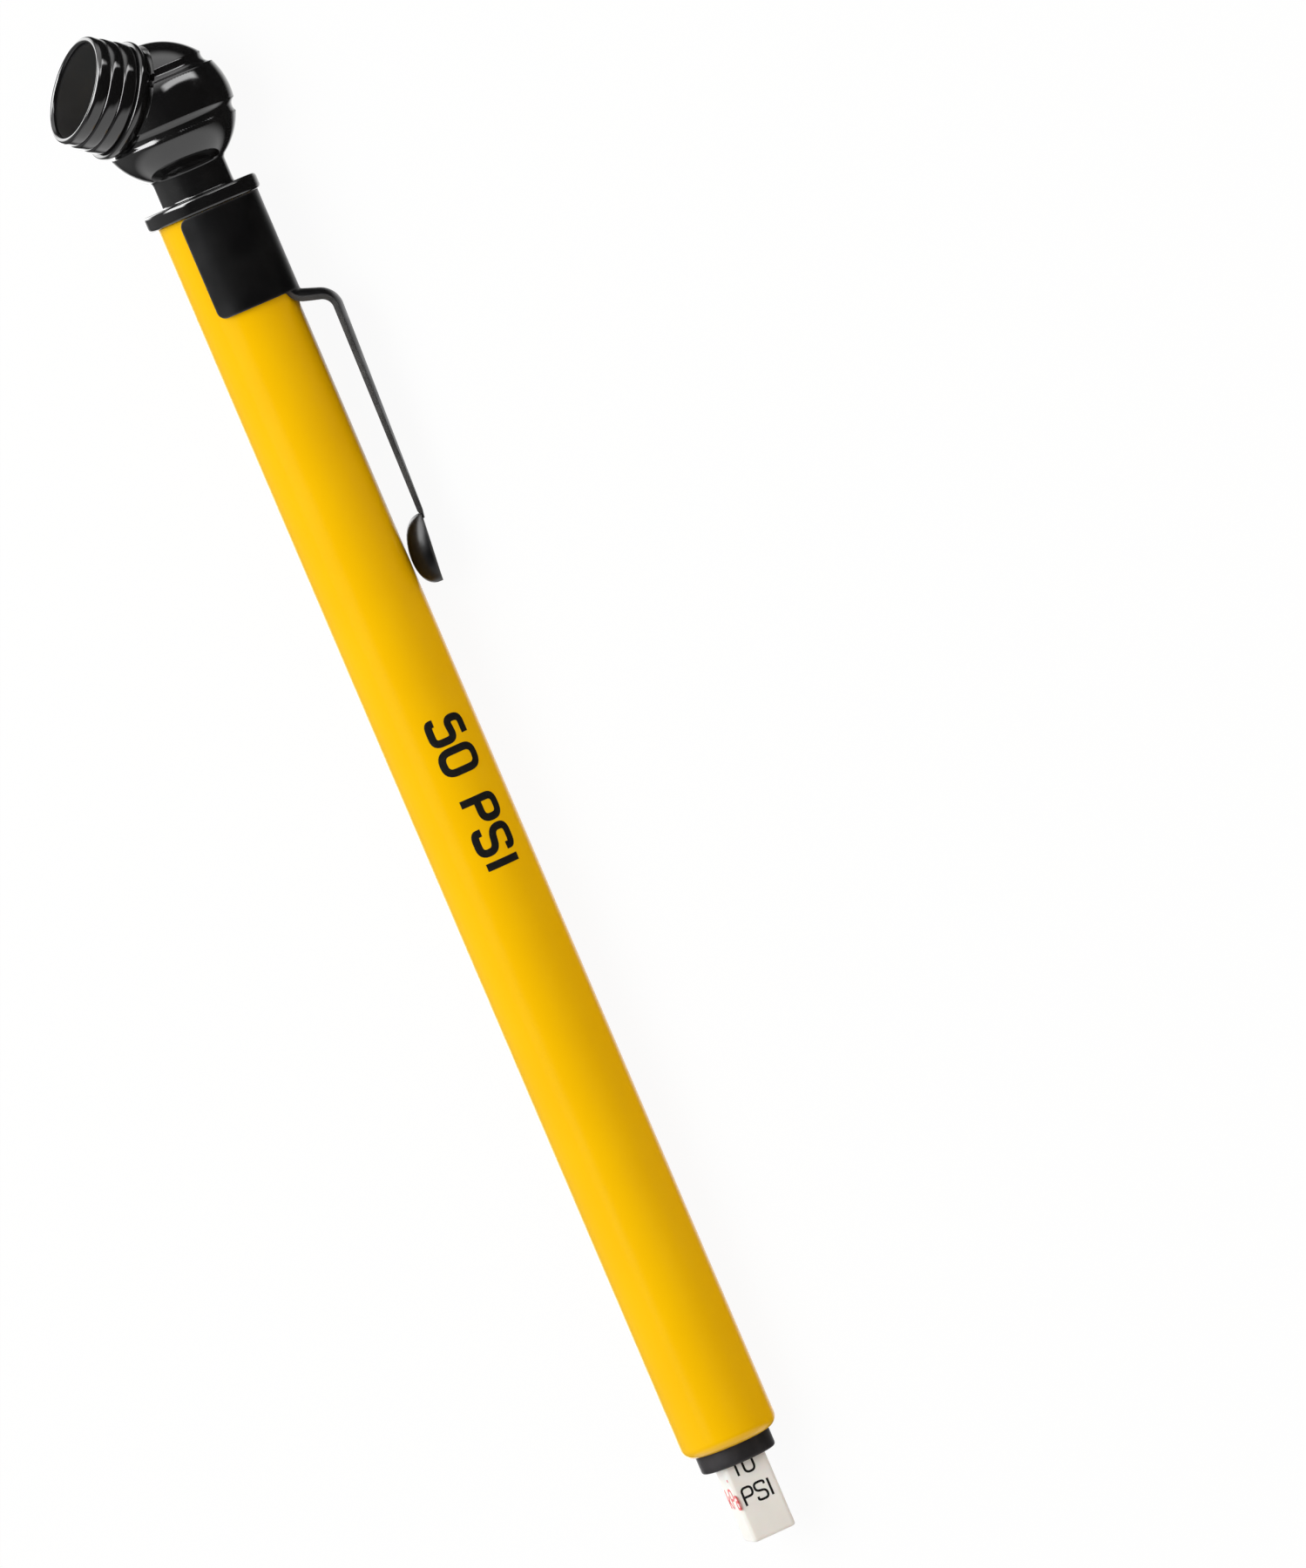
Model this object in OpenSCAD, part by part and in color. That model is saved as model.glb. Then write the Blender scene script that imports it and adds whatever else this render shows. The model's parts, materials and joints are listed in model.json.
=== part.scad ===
// Pencil tyre-pressure gauge: a thin tube with a ball-shaped chuck on one end.
// Air pushes a piston down the tube against a long spring, the piston pushes a
// square indicator bar out of the tail, and the bar stays out to be read.
//
// Every module is drawn upright on the tube's own axis: z = 0 is the tail edge
// of the barrel, +z runs towards the chuck and +x towards the pocket clip.
// lay_down() then puts the whole gauge on its side, as it rests on a table.

/* [Barrel] */
// Outside diameter of the tube
barrel_d = 9.5; // [9.2:0.1:9.8]
// Length of the tube from its rolled tail to the chuck's flange
barrel_len = 124.5; // [110:0.5:150]
// Wall thickness of the tube
barrel_wall = 0.5; // [0.4:0.05:0.6]
// Radius of the rolled edge at the tail
tail_roll = 1.15; // [1:0.05:1.3]

/* [Chuck head] */
// Diameter of the ball
ball_d = 13.4; // [12.8:0.1:14]
// Diameter of the flange that stops the head against the tube
flange_d = 11.3; // [10.8:0.1:12]
// Thickness of the flange
flange_t = 1.5; // [1.2:0.1:1.8]
// Diameter of the neck between flange and ball
neck_d = 7.2; // [6.8:0.1:7.6]
// Height of the ball's centre above the flange
ball_rise = 8.2; // [8:0.1:8.6]
// Angle between the mouth's axis and the tube's axis
mouth_angle = 55.5; // [50:0.5:60]
// Turn of the mouth about the tube, from straight opposite the clip
mouth_turn = 29; // [0:1:35]
// Distance from the ball's centre to the mouth's rim
mouth_reach = 9.3; // [9.1:0.1:9.6]
// Inside diameter of the mouth, which takes a tyre valve stem
mouth_d = 9; // [8.8:0.1:9.1]
// Depth of the mouth from its rim to the rubber seal
mouth_depth = 5; // [4.8:0.1:5.2]

/* [Pocket clip] */
// Thickness of the clip's steel sheet
sheet_t = 0.5; // [0.4:0.05:0.55]
// Height of the band that grips the tube
band_h = 9.7; // [8:0.1:10]
// Angle that the band wraps round the tube
band_wrap = 240; // [220:5:270]
// Distance from the tube's axis to the outer face of the arm
arm_out = 8.15; // [7.9:0.05:8.3]
// Width of the arm at its root
arm_root_w = 5.5; // [5:0.1:6]
// Width of the arm's neck, just before its end
arm_neck_w = 2.5; // [2.2:0.1:3]
// Length of the dished end
dish_len = 6.1; // [5.8:0.1:6.4]
// Width of the dished end
dish_w = 4.6; // [4.2:0.1:5]

/* [Indicator bar] */
// Side of the square bar
bar_side = 4.3; // [4.1:0.05:4.4]
// Turn of the bar's faces about the tube's axis
bar_turn = 12.5; // [0:0.5:20]
// How far the bar stands out of the barrel at rest
bar_out = 9.25; // [8:0.25:12]
// How far the end guide stands out of the barrel
guide_out = 1.75; // [1.5:0.05:2]

/* [Piston and spring] */
// Diameter of the spring's wire
wire_d = 0.8; // [0.7:0.05:0.85]
// Mean diameter of the spring's coils
coil_d = 7.3; // [7.2:0.05:7.35]
// Number of working turns
coil_turns = 28; // [20:1:30]

/* [Hidden] */
$fn = 96;

yellow = "#f7c000";
gloss_black = "#161617";
steel_black = "#232325";
charcoal = "#39373a";
nylon_white = "#efefec";
rubber_black = "#1c1c1c";
spring_steel = "#b9bcc0";
brass = "#c9a24a";
acetal_grey = "#8f9092";

slip = 0.02;                    // gap between curved faces that are fixed together
run = 0.05;                     // gap between faces that slide on each other
over = 1;                       // how far a cutter runs past the face it cuts
sink = 0.1;                     // how far one piece of a solid runs into the next

barrel_r = barrel_d / 2;
bore_r = barrel_r - barrel_wall;
roll_centre_r = barrel_r - tail_roll;
nose_r = 3.7;                   // part of the end guide that shows
nose_hole_r = nose_r + slip;

// Chuck head
ball_r = ball_d / 2;
flange_top = barrel_len + flange_t;
ball_z = flange_top + ball_rise;
neck_r = neck_d / 2;
flange_edge = 0.4;
spigot_len = 8;
spigot_r = bore_r - slip;
passage_r = 1;
plenum_r = 1.6;
groove_depth = 0.26;
groove_r = 0.65;                // radius of the round-bottomed grooves
low_groove = -1.8;              // heights of the two grooves from the ball's centre
high_groove = 3.65;
moat_r = 5.5;                   // above the low groove the ball stands back from the collar
mouth_r = mouth_d / 2;
rim_round = 0.3;                // section of the mouth's round lip, and where its centre runs
rim_r = mouth_r + rim_round;
collar_r = mouth_r + 0.47;      // bottom of the notches between the ribs
ribs = [[6.15, 4.82], [7.4, 4.76], [8.5, 4.74]];    // distance from the ball's centre, radius
rib_round = 0.5;
shoulder_round = 0.55;          // the last and widest ring, next to the ball
shoulder_at = [5.1, 4.95];
shoulder_low = 3.2;
shoulder_slope = 36;            // angle at which the cone from the ball meets the shoulder ring
seat_top = mouth_reach - mouth_depth;
seat_r = mouth_r - 0.22;        // the rubber seal is pressed into this narrower pocket
seal_front = seat_top - sink;
seal_t = 1.9;
seal_ridge = [1.6, 0.15, 0.75]; // the hollow in the seal's face: middle radius, height, round
disc_t = 0.8;
seal_back = seal_front - seal_t;
disc_back = seal_back - disc_t;
pin_r = 0.75;
air_hole_r = 0.32;
air_hole_ring = 1.2;
neck_into_ball = 1.5;
o_ring_r = 0.45;                // radius of the O-ring's own section
o_ring_play = 1.2;              // the O-ring's groove is this much wider than the ring
o_ring_z = barrel_len - 4;

// Pocket clip
band_in = barrel_r + 0.03;
band_top = barrel_len - 0.25;
band_low = band_top - band_h;
band_corner = 0.65;
bend_slope = 58;                // how far the arm turns outwards before it turns down
high_bend_r = 0.75;             // radius of each bend at the middle of the sheet
low_bend_r = 2.5;
bend_steps = 10;
arm_mid = arm_out - sheet_t / 2;
band_mid = band_in + sheet_t / 2;
bend_run = (high_bend_r + low_bend_r) * (1 - cos(bend_slope));
slant_len = (arm_mid - band_mid - bend_run) / sin(bend_slope);
bend_drop = (high_bend_r + low_bend_r) * sin(bend_slope) + slant_len * cos(bend_slope);
arm_top = band_low - bend_drop;
dish_z = band_top - 36.6;       // height of the dish's middle
dish_rim_x = 7.2;               // the dished end's outer face stands this far off the axis
dish_touch = 0.06;              // gap left between the dish and the tube
dish_lap = 0.05;                // the strip's outer face ends this far inside the dish's rim
dish_deep = dish_rim_x - barrel_r - dish_touch;
strip_overlap = 0.5;            // how far the strip runs into the dished end
dish_r = (pow(dish_len / 2, 2) + pow(dish_deep, 2)) / (2 * dish_deep);

// Piston, counted down from the spigot
stop_gap = 0.2;
rivet_top = barrel_len - spigot_len - stop_gap;
rivet_head_t = 0.8;
rivet_head_r = 1.7;
shank_r = 0.9;
washer_t = 0.5;
washer_r = 2.9;
cup_t = 1.4;
cup_lip = 0.9;
cup_in = 3.3;                   // inside radius of the cup's lip
flange_piston_t = 1.5;
stem_len = 3.6;
stem_r = 3;
washer_low = rivet_top - rivet_head_t - washer_t;
cup_low = washer_low - cup_t;
seat_z = cup_low - flange_piston_t;
stem_low = seat_z - stem_len;
shank_low = stem_low + 1.4;

// End guide, washer and bar
guide_top = 6;
spring_washer_t = 0.4;
spring_washer_in = 3.2;
bar_corner = 0.35;
bar_top = stem_low - run;
bar_head_r = 3;
bar_head_t = 2.5;
bar_tip = 0.3;                  // step at the bar's outer end
nose_root = 0.2;                // how far the guide's nose runs up inside the barrel
leaf_t = 0.2;
leaf_w = 2.4;
leaf_low = 1.4;
leaf_high = guide_top - 0.2;
leaf_bow = 0.4;
pocket_depth = 0.75;

// Spring
wire_r = wire_d / 2;
coil_r = coil_d / 2;
spring_low = guide_top + spring_washer_t;
spring_high = seat_z - slip;
ring_points = 6;
turn_steps = 14;
end_turns = 1;

// How the gauge lies: ball and rolled tail on the table, clip down to the table too
lie_tilt = asin((ball_r - barrel_r) / (ball_z - tail_roll));
arm_axis_h = ball_r - (ball_z - arm_top) * sin(lie_tilt);
arm_corner_r = sqrt(pow(arm_out, 2) + pow(arm_root_w / 2, 2));
arm_corner_a = atan(arm_root_w / 2 / arm_out);
clip_down = asin((arm_axis_h - slip) / arm_corner_r) - arm_corner_a;
mouth_axis = [-sin(mouth_angle) * cos(mouth_turn),
              -sin(mouth_angle) * sin(mouth_turn),
              cos(mouth_angle)];
mouth_side = mouth_axis[1] * sin(clip_down) - mouth_axis[0] * cos(clip_down);
mouth_end_x = ball_z + (mouth_reach - rim_round) * mouth_axis[2]
              + rim_r * sqrt(1 - pow(mouth_axis[2], 2)) + rim_round;
mouth_end_y = (mouth_reach - rim_round) * mouth_side
              + rim_r * sqrt(1 - pow(mouth_side, 2)) + rim_round;
clip_end_y = -arm_out * cos(clip_down) - arm_root_w / 2 * sin(clip_down);
middle_x = (mouth_end_x - bar_out) / 2;
middle_y = (mouth_end_y + clip_end_y) / 2;

module lay_down() {
    translate([-middle_x, -middle_y, ball_r - ball_z * sin(lie_tilt)])
        rotate([0, -lie_tilt, 0])
        rotate([0, 90, 0])
        rotate([0, 0, clip_down - 90])
        children();
}

// Puts children that are drawn on the z axis onto the mouth's axis, z = 0 at the ball's centre
module along_mouth() {
    translate([0, 0, ball_z])
        rotate([0, 0, 180 + mouth_turn])
        rotate([0, mouth_angle, 0])
        children();
}

// Section of a tube that is rolled in at z = 0, with its corner's centre at roll_centre_r
module rolled_section(radius, corner, low, high) {
    translate([0, tail_roll])
        square([radius, high - tail_roll]);
    translate([0, low])
        square([roll_centre_r, high - low]);
    translate([roll_centre_r, tail_roll])
        circle(corner);
}

module barrel() {
    lay_down()
    color(yellow)
    rotate_extrude()
    difference() {
        rolled_section(barrel_r, tail_roll, 0, barrel_len);
        rolled_section(bore_r, tail_roll - barrel_wall, barrel_wall, barrel_len + over);
        translate([0, -over])
            square([nose_hole_r, barrel_len]);
        translate([-2 * barrel_r, -over])
            square([2 * barrel_r, barrel_len + 2 * over]);
    }
}

// Half section of the ribbed collar round the mouth, from the ball's centre out to the rim
module collar_section() {
    translate([0, shoulder_low])
        square([collar_r, mouth_reach - rim_round - shoulder_low]);
    translate([rim_r, mouth_reach - rim_round])
        circle(rim_round);
    for (rib = ribs)
        translate([rib[1], rib[0]])
        circle(rib_round);
    translate(shoulder_at)
        circle(shoulder_round);
    polygon([[0, shoulder_low], [collar_r, shoulder_low],
             shoulder_at + shoulder_round * [cos(shoulder_slope), -sin(shoulder_slope)],
             shoulder_at + shoulder_round * [cos(shoulder_slope), sin(shoulder_slope)],
             [0, shoulder_at[1] + shoulder_round * sin(shoulder_slope)]]);
}

// The ball, cut back to a ring-shaped ditch where the collar leaves it above the low groove
module ball_with_moat() {
    difference() {
        translate([0, 0, ball_z])
            sphere(ball_r);
        intersection() {
            along_mouth()
                translate([0, 0, shoulder_low])
                cylinder(r = moat_r, h = ball_r);
            translate([-ball_r, -ball_r, ball_z + low_groove])
                cube(2 * ball_r);
        }
    }
}

module chuck_outside() {
    ball_with_moat();
    along_mouth()
        rotate_extrude()
        collar_section();
    translate([0, 0, flange_top - flange_edge])
        cylinder(r = neck_r, h = ball_rise - ball_r + neck_into_ball);
    rotate_extrude()
    union() {
        translate([0, barrel_len])
            square([flange_d / 2 - flange_edge, flange_t]);
        translate([0, barrel_len + flange_edge])
            square([flange_d / 2, flange_t - 2 * flange_edge]);
        for (side = [flange_edge, flange_t - flange_edge])
            translate([flange_d / 2 - flange_edge, barrel_len + side])
                circle(flange_edge);
    }
    translate([0, 0, barrel_len - spigot_len])
        cylinder(r = spigot_r, h = spigot_len + flange_edge);
}

module ball_groove(height) {
    ring_r = sqrt(pow(ball_r, 2) - pow(height, 2));
    translate([0, 0, ball_z + height])
        rotate_extrude()
        translate([ring_r + groove_r - groove_depth, 0])
        circle(groove_r);
}

module chuck_head() {
    lay_down()
    color(gloss_black)
    difference() {
        chuck_outside();
        difference() {
            union() {
                ball_groove(low_groove);
                ball_groove(high_groove);
            }
            // the grooves stop where the collar leaves the ball
            along_mouth()
                cylinder(r = moat_r, h = mouth_reach + over);
        }
        along_mouth() {
            translate([0, 0, disc_back])
                cylinder(r = seat_r, h = mouth_reach);
            translate([0, 0, seat_top])
                cylinder(r = mouth_r, h = mouth_reach);
            cylinder(r = plenum_r, h = mouth_reach);
        }
        translate([0, 0, barrel_len - spigot_len - over])
            cylinder(r = passage_r, h = ball_z - barrel_len + spigot_len + over);
        translate([0, 0, o_ring_z])
            difference() {
                cylinder(r = bore_r + over, h = 2 * o_ring_play * o_ring_r, center = true);
                cylinder(r = bore_r - 2 * o_ring_r - slip, h = 4 * o_ring_r, center = true);
            }
    }
}

module head_o_ring() {
    lay_down()
    color(rubber_black)
    translate([0, 0, o_ring_z])
    rotate_extrude()
    translate([bore_r - o_ring_r - slip / 2, 0])
    circle(o_ring_r, $fn = 32);
}

// Rubber washer that the valve stem is pressed on, with a raised ring on its face
module valve_seal() {
    lay_down()
    color(rubber_black)
    along_mouth()
    rotate_extrude()
    difference() {
        translate([plenum_r, seal_back])
            square([seat_r - slip - plenum_r, seal_t]);
        translate([seal_ridge[0], seal_front + seal_ridge[1]])
            circle(seal_ridge[2]);
    }
}

// Brass disc with air holes, and the pin that opens the tyre's valve core
module deflator_pin() {
    pin_tip = seal_front - sink;
    lay_down()
    color(brass)
    along_mouth() {
        difference() {
            translate([0, 0, disc_back])
                cylinder(r = seat_r - slip, h = disc_t);
            for (turn = [45:90:315])
                rotate([0, 0, turn])
                translate([air_hole_ring, 0, disc_back - over])
                cylinder(r = air_hole_r, h = disc_t + 2 * over);
        }
        translate([0, 0, seal_back - disc_t / 2])
            cylinder(r = pin_r, h = pin_tip - pin_r - seal_back + disc_t / 2);
        translate([0, 0, pin_tip - pin_r])
            sphere(pin_r);
    }
}

module piston_rivet() {
    lay_down()
    color(brass) {
        translate([0, 0, rivet_top - rivet_head_t])
            cylinder(r = rivet_head_r, h = rivet_head_t);
        translate([0, 0, shank_low])
            cylinder(r = shank_r, h = rivet_top - shank_low - rivet_head_t + sink);
    }
}

module cup_washer() {
    lay_down()
    color(spring_steel)
    translate([0, 0, washer_low])
    difference() {
        cylinder(r = washer_r, h = washer_t);
        translate([0, 0, -over])
            cylinder(r = shank_r + slip, h = washer_t + 2 * over);
    }
}

module piston_cup() {
    lay_down()
    color(rubber_black)
    rotate_extrude()
    difference() {
        translate([0, cup_low])
            square([bore_r - run, cup_t + cup_lip]);
        translate([0, washer_low])
            square([cup_in, cup_lip + over]);
        translate([-over, cup_low - over])
            square([shank_r + slip + over, cup_t + 2 * over]);
    }
}

module piston_body() {
    lay_down()
    color(acetal_grey)
    difference() {
        union() {
            translate([0, 0, seat_z])
                cylinder(r = bore_r - run, h = flange_piston_t);
            translate([0, 0, stem_low])
                cylinder(r = stem_r, h = stem_len + sink);
        }
        translate([0, 0, shank_low - slip])
            cylinder(r = shank_r + slip, h = cup_low);
    }
}

// Height of the spring's wire after a number of turns: flat end turns, even pitch between
function coil_height(turn) =
    let (low = spring_low + wire_r,
         high = spring_high - wire_r,
         pitch = (high - low - 2 * end_turns * wire_d) / coil_turns,
         first = min(turn, end_turns),
         last = max(turn - end_turns - coil_turns, 0),
         middle = turn - first - last)
    low + wire_d * (first + last) + pitch * middle;

function wire_point(step, side) =
    let (turn = step / turn_steps,
         around = 360 * turn,
         across = 360 * side / ring_points,
         reach = coil_r + wire_r * cos(across))
    [reach * cos(around), reach * sin(around), coil_height(turn) + wire_r * sin(across)];

module main_spring() {
    steps = turn_steps * (coil_turns + 2 * end_turns);
    points = [for (step = [0:steps]) for (side = [0:ring_points - 1]) wire_point(step, side)];
    walls = [for (step = [0:steps - 1]) for (side = [0:ring_points - 1])
        let (next = (side + 1) % ring_points, row = step * ring_points)
        [row + side, row + ring_points + side, row + ring_points + next, row + next]];
    first_cap = [for (side = [0:ring_points - 1]) side];
    last_cap = [for (side = [ring_points - 1:-1:0]) steps * ring_points + side];
    lay_down()
    color(spring_steel)
    polyhedron(points, concat(walls, [first_cap, last_cap]), convexity = 10);
}

module spring_washer() {
    lay_down()
    color(spring_steel)
    translate([0, 0, guide_top])
    difference() {
        cylinder(r = bore_r - run, h = spring_washer_t);
        translate([0, 0, -over])
            cylinder(r = spring_washer_in, h = spring_washer_t + 2 * over);
    }
}

// Square with round corners, made of plain squares and circles
module round_square(side, corner) {
    square([side, side - 2 * corner], center = true);
    square([side - 2 * corner, side], center = true);
    for (x = [-1, 1])
        for (y = [-1, 1])
            translate([x, y] * (side / 2 - corner))
                circle(corner);
}

// Turns children so that -y is the outward direction of the bar's front face
module on_bar() {
    rotate([0, 0, bar_turn])
        children();
}

module end_guide() {
    lay_down()
    color(charcoal)
    difference() {
        union() {
            rotate_extrude()
            intersection() {
                rolled_section(bore_r - slip, tail_roll - barrel_wall - slip,
                               barrel_wall + slip, guide_top);
                square([bore_r, guide_top]);
            }
            translate([0, 0, -guide_out])
                cylinder(r = nose_r, h = guide_out + barrel_wall + nose_root);
        }
        on_bar() {
            translate([0, 0, -guide_out - over])
                linear_extrude(guide_out + guide_top + 2 * over)
                round_square(bar_side + 2 * run, bar_corner);
            translate([-leaf_w / 2 - sink, -bar_side / 2 - pocket_depth, leaf_low - sink])
                cube([leaf_w + 2 * sink, bar_side / 2, guide_top]);
        }
    }
}

// Bowed strip in the guide's pocket: its rubbing on the bar holds the reading
module grip_spring() {
    half = (leaf_high - leaf_low) / 2;
    bow_r = (pow(half, 2) + pow(leaf_bow, 2)) / (2 * leaf_bow);
    half_angle = asin(half / bow_r);
    lay_down()
    color(spring_steel)
    on_bar()
    translate([-leaf_w / 2, -bar_side / 2 - run / 2 - bow_r - leaf_t, leaf_low + half])
    rotate([0, 90, 0])
    rotate([0, 0, 90 - half_angle])
    rotate_extrude(angle = 2 * half_angle)
    translate([bow_r, 0])
    square([leaf_t, leaf_w]);
}

module indicator_bar() {
    lay_down()
    color(nylon_white)
    on_bar() {
        translate([0, 0, bar_tip - bar_out])
            linear_extrude(bar_top + bar_out - bar_tip)
            round_square(bar_side, bar_corner);
        translate([0, 0, -bar_out])
            linear_extrude(bar_tip + sink)
            round_square(bar_side - bar_tip, bar_corner);
        translate([0, 0, bar_top - bar_head_t])
            cylinder(r = bar_head_r, h = bar_head_t);
    }
}

module clip_band() {
    lay_down()
    color(steel_black)
    difference() {
        translate([0, 0, band_low])
            rotate([0, 0, -band_wrap / 2])
            rotate_extrude(angle = band_wrap)
            translate([band_in, 0])
            square([sheet_t, band_h]);
        // round corners at the band's free ends
        for (side = [-1, 1])
            for (upper = [0, 1])
                rotate([0, 0, side * band_wrap / 2])
                translate([band_mid, 0, upper ? band_top : band_low])
                mirror([0, side > 0 ? 1 : 0, 0])
                mirror([0, 0, upper])
                rotate([90, 0, 90])
                translate([0, 0, -over])
                linear_extrude(2 * over)
                difference() {
                    translate([-over, -over])
                        square(band_corner + over);
                    translate([band_corner, band_corner])
                        circle(band_corner);
                }
    }
}

function arc(centre, radius, from, to) =
    [for (i = [0:bend_steps])
        let (angle = from + (to - from) * i / bend_steps)
        centre + radius * [cos(angle), sin(angle)]];

// Side view of the arm, as x against z: two bends, a slant between them, the leaning strip
module arm_profile() {
    high_bend = [band_mid + high_bend_r, band_low];
    low_bend = [arm_mid - low_bend_r, arm_top];
    half = sheet_t / 2;
    strip_low = dish_z + dish_len / 2 - strip_overlap;
    strip_out = dish_rim_x - dish_lap;
    polygon(concat(arc(high_bend, high_bend_r + half, 180, 180 + bend_slope),
                   arc(low_bend, low_bend_r - half, bend_slope, 0),
                   [[strip_out - sheet_t, strip_low], [strip_out, strip_low]],
                   arc(low_bend, low_bend_r + half, 0, bend_slope),
                   arc(high_bend, high_bend_r - half, 180 + bend_slope, 180)));
}

// The strip seen square on, as width against z: it tapers down to its neck
module strip_outline() {
    neck_z = dish_z + dish_len / 2 - strip_overlap - over;
    polygon([[-arm_root_w / 2, band_low + over], [arm_root_w / 2, band_low + over],
             [arm_root_w / 2, arm_top], [arm_neck_w / 2, neck_z],
             [-arm_neck_w / 2, neck_z], [-arm_root_w / 2, arm_top]]);
}

// Round dish of sheet thickness, bulging towards the tube, trimmed to a boat shape
module dished_end() {
    lens_r = (pow(dish_len, 2) + pow(dish_w, 2)) / (4 * dish_w);
    intersection() {
        difference() {
            translate([dish_rim_x - dish_deep + dish_r, 0, dish_z])
                sphere(dish_r);
            translate([dish_rim_x - dish_deep + dish_r, 0, dish_z])
                sphere(dish_r - sheet_t);
            translate([dish_rim_x, -dish_len, dish_z - 2 * dish_len])
                cube([4 * dish_len, 2 * dish_len, 4 * dish_len]);
        }
        for_both_sides(lens_r - dish_w / 2)
            translate([0, 0, dish_z])
            rotate([0, 90, 0])
            cylinder(r = lens_r, h = 2 * arm_out);
    }
}

// What two copies of a shape, one shifted to each side, have in common
module for_both_sides(shift) {
    intersection() {
        translate([0, shift, 0])
            children();
        translate([0, -shift, 0])
            children();
    }
}

module clip_arm() {
    lay_down()
    color(steel_black)
    union() {
        intersection() {
            rotate([90, 0, 0])
                translate([0, 0, -arm_root_w])
                linear_extrude(2 * arm_root_w)
                arm_profile();
            rotate([90, 0, 90])
                linear_extrude(2 * arm_out)
                strip_outline();
        }
        dished_end();
    }
}

barrel();
chuck_head();
head_o_ring();
valve_seal();
deflator_pin();
piston_rivet();
cup_washer();
piston_cup();
piston_body();
main_spring();
spring_washer();
end_guide();
grip_spring();
indicator_bar();
clip_band();
clip_arm();
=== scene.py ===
# %% [markdown]
# A pencil tyre gauge is built here over its CAD frame, one piece at a time.
# The frame is fixed, and every new piece is placed by its joints and its mount.

import json
import math

import bpy
import numpy as np
from mathutils import Matrix


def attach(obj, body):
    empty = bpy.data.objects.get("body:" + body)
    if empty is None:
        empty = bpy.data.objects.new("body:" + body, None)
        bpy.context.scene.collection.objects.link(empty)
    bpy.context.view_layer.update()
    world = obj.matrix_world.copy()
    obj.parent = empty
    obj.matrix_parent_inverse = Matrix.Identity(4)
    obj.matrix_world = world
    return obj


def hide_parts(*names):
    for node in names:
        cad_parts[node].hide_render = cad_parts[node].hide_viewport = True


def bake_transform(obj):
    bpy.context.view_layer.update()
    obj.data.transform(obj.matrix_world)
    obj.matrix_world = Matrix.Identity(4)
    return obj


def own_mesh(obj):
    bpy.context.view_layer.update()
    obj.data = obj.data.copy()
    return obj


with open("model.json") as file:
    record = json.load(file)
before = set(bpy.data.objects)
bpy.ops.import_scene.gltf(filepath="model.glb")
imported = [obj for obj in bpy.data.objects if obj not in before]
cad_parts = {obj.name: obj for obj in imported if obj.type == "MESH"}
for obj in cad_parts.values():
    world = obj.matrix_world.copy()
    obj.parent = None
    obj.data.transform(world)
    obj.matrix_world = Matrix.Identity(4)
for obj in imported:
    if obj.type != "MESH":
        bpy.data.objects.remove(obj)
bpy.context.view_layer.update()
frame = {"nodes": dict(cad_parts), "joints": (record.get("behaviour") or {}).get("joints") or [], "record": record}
joints = {joint["name"]: joint for joint in frame["joints"]}

# %% [markdown]
# The gauge lies a little tilted, so its pieces are drawn upright, in millimetres, on the tube's own axis.
# Up is from the tail towards the chuck, out is towards the pocket clip, and height 0 is the tube's tail edge.
# The three directions come from the joints: the bar slides along the tube,
# and the clip bends about the third one.

# %% The tube's own axes
COLLAR_MIDDLE = 119.2  # height at which the clip's collar turns, in mm

up = -np.array(joints["bar_slide"]["axis"], float)
across = -np.array(joints["clip_flex"]["axis"], float)
across -= up * (across @ up)
across /= np.linalg.norm(across)
out = np.cross(across, up)
axes = np.stack([out, across, up])
tail_point = 1000 * np.array(joints["clip_turn"]["pos_m"]) - COLLAR_MIDDLE * up


def to_row(points):
    """Upright millimetres to the row frame's metres: (tail point + x out + y across + z up) / 1000."""
    return (tail_point + np.asarray(points, float) @ axes) / 1000


print("up", up.round(4), "out", out.round(4), "tail at", to_row([0, 0, 0]).round(5))

# %% [markdown]
# Everything here is a skin over rings of points: a tube, a ball and a bar differ only in their rings.
# Real corners are never sharp, so a broken line first gets a small curve at each corner.

# %% Mesh helpers
def rounded(corners, reach, steps=5, closed=True):
    """Broken line with a curve at each corner: p(t) = (1-t)^2 a + 2t(1-t) c + t^2 b.
    a and b lie on the two sides, reach away from corner c.
    A further point on each side keeps the flats flat."""
    corners = np.array(corners, float)
    reach = np.broadcast_to(np.asarray(reach, float), len(corners))
    sides = []
    for neighbour in (np.roll(corners, 1, 0), np.roll(corners, -1, 0)):
        side = neighbour - corners
        long = np.linalg.norm(side, axis=1)
        near = np.minimum(reach, 0.45 * long)
        far = np.minimum(1.6 * near, 0.47 * long)
        side = side / long[:, None]
        sides.append((corners + side * near[:, None], corners + side * far[:, None]))
    (a, guard_a), (b, guard_b) = sides
    t = np.linspace(0, 1, steps + 1)[None, :, None]
    curve = (1 - t) ** 2 * a[:, None] + 2 * t * (1 - t) * corners[:, None] + t**2 * b[:, None]
    line = np.concatenate([guard_a[:, None], curve, guard_b[:, None]], 1)
    if closed:
        return line.reshape(-1, corners.shape[1])
    inside = line[1:-1].reshape(-1, corners.shape[1])
    return np.concatenate([corners[:1], inside, corners[-1:]])


def lap(count):
    """Angles of evenly spaced places round a circle."""
    return 2 * np.pi * np.arange(count) / count


def arc(centre, radius, start, stop, count):
    """Part of a circle: centre + radius (cos a, sin a), with a from start to stop in degrees."""
    a = np.radians(np.linspace(start, stop, count))
    return np.stack([centre[0] + radius * np.cos(a), centre[1] + radius * np.sin(a)], -1)


def lengths(line):
    """How far along a line each of its points is."""
    return np.concatenate([[0], np.cumsum(np.linalg.norm(np.diff(line, axis=0), axis=1))])


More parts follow.
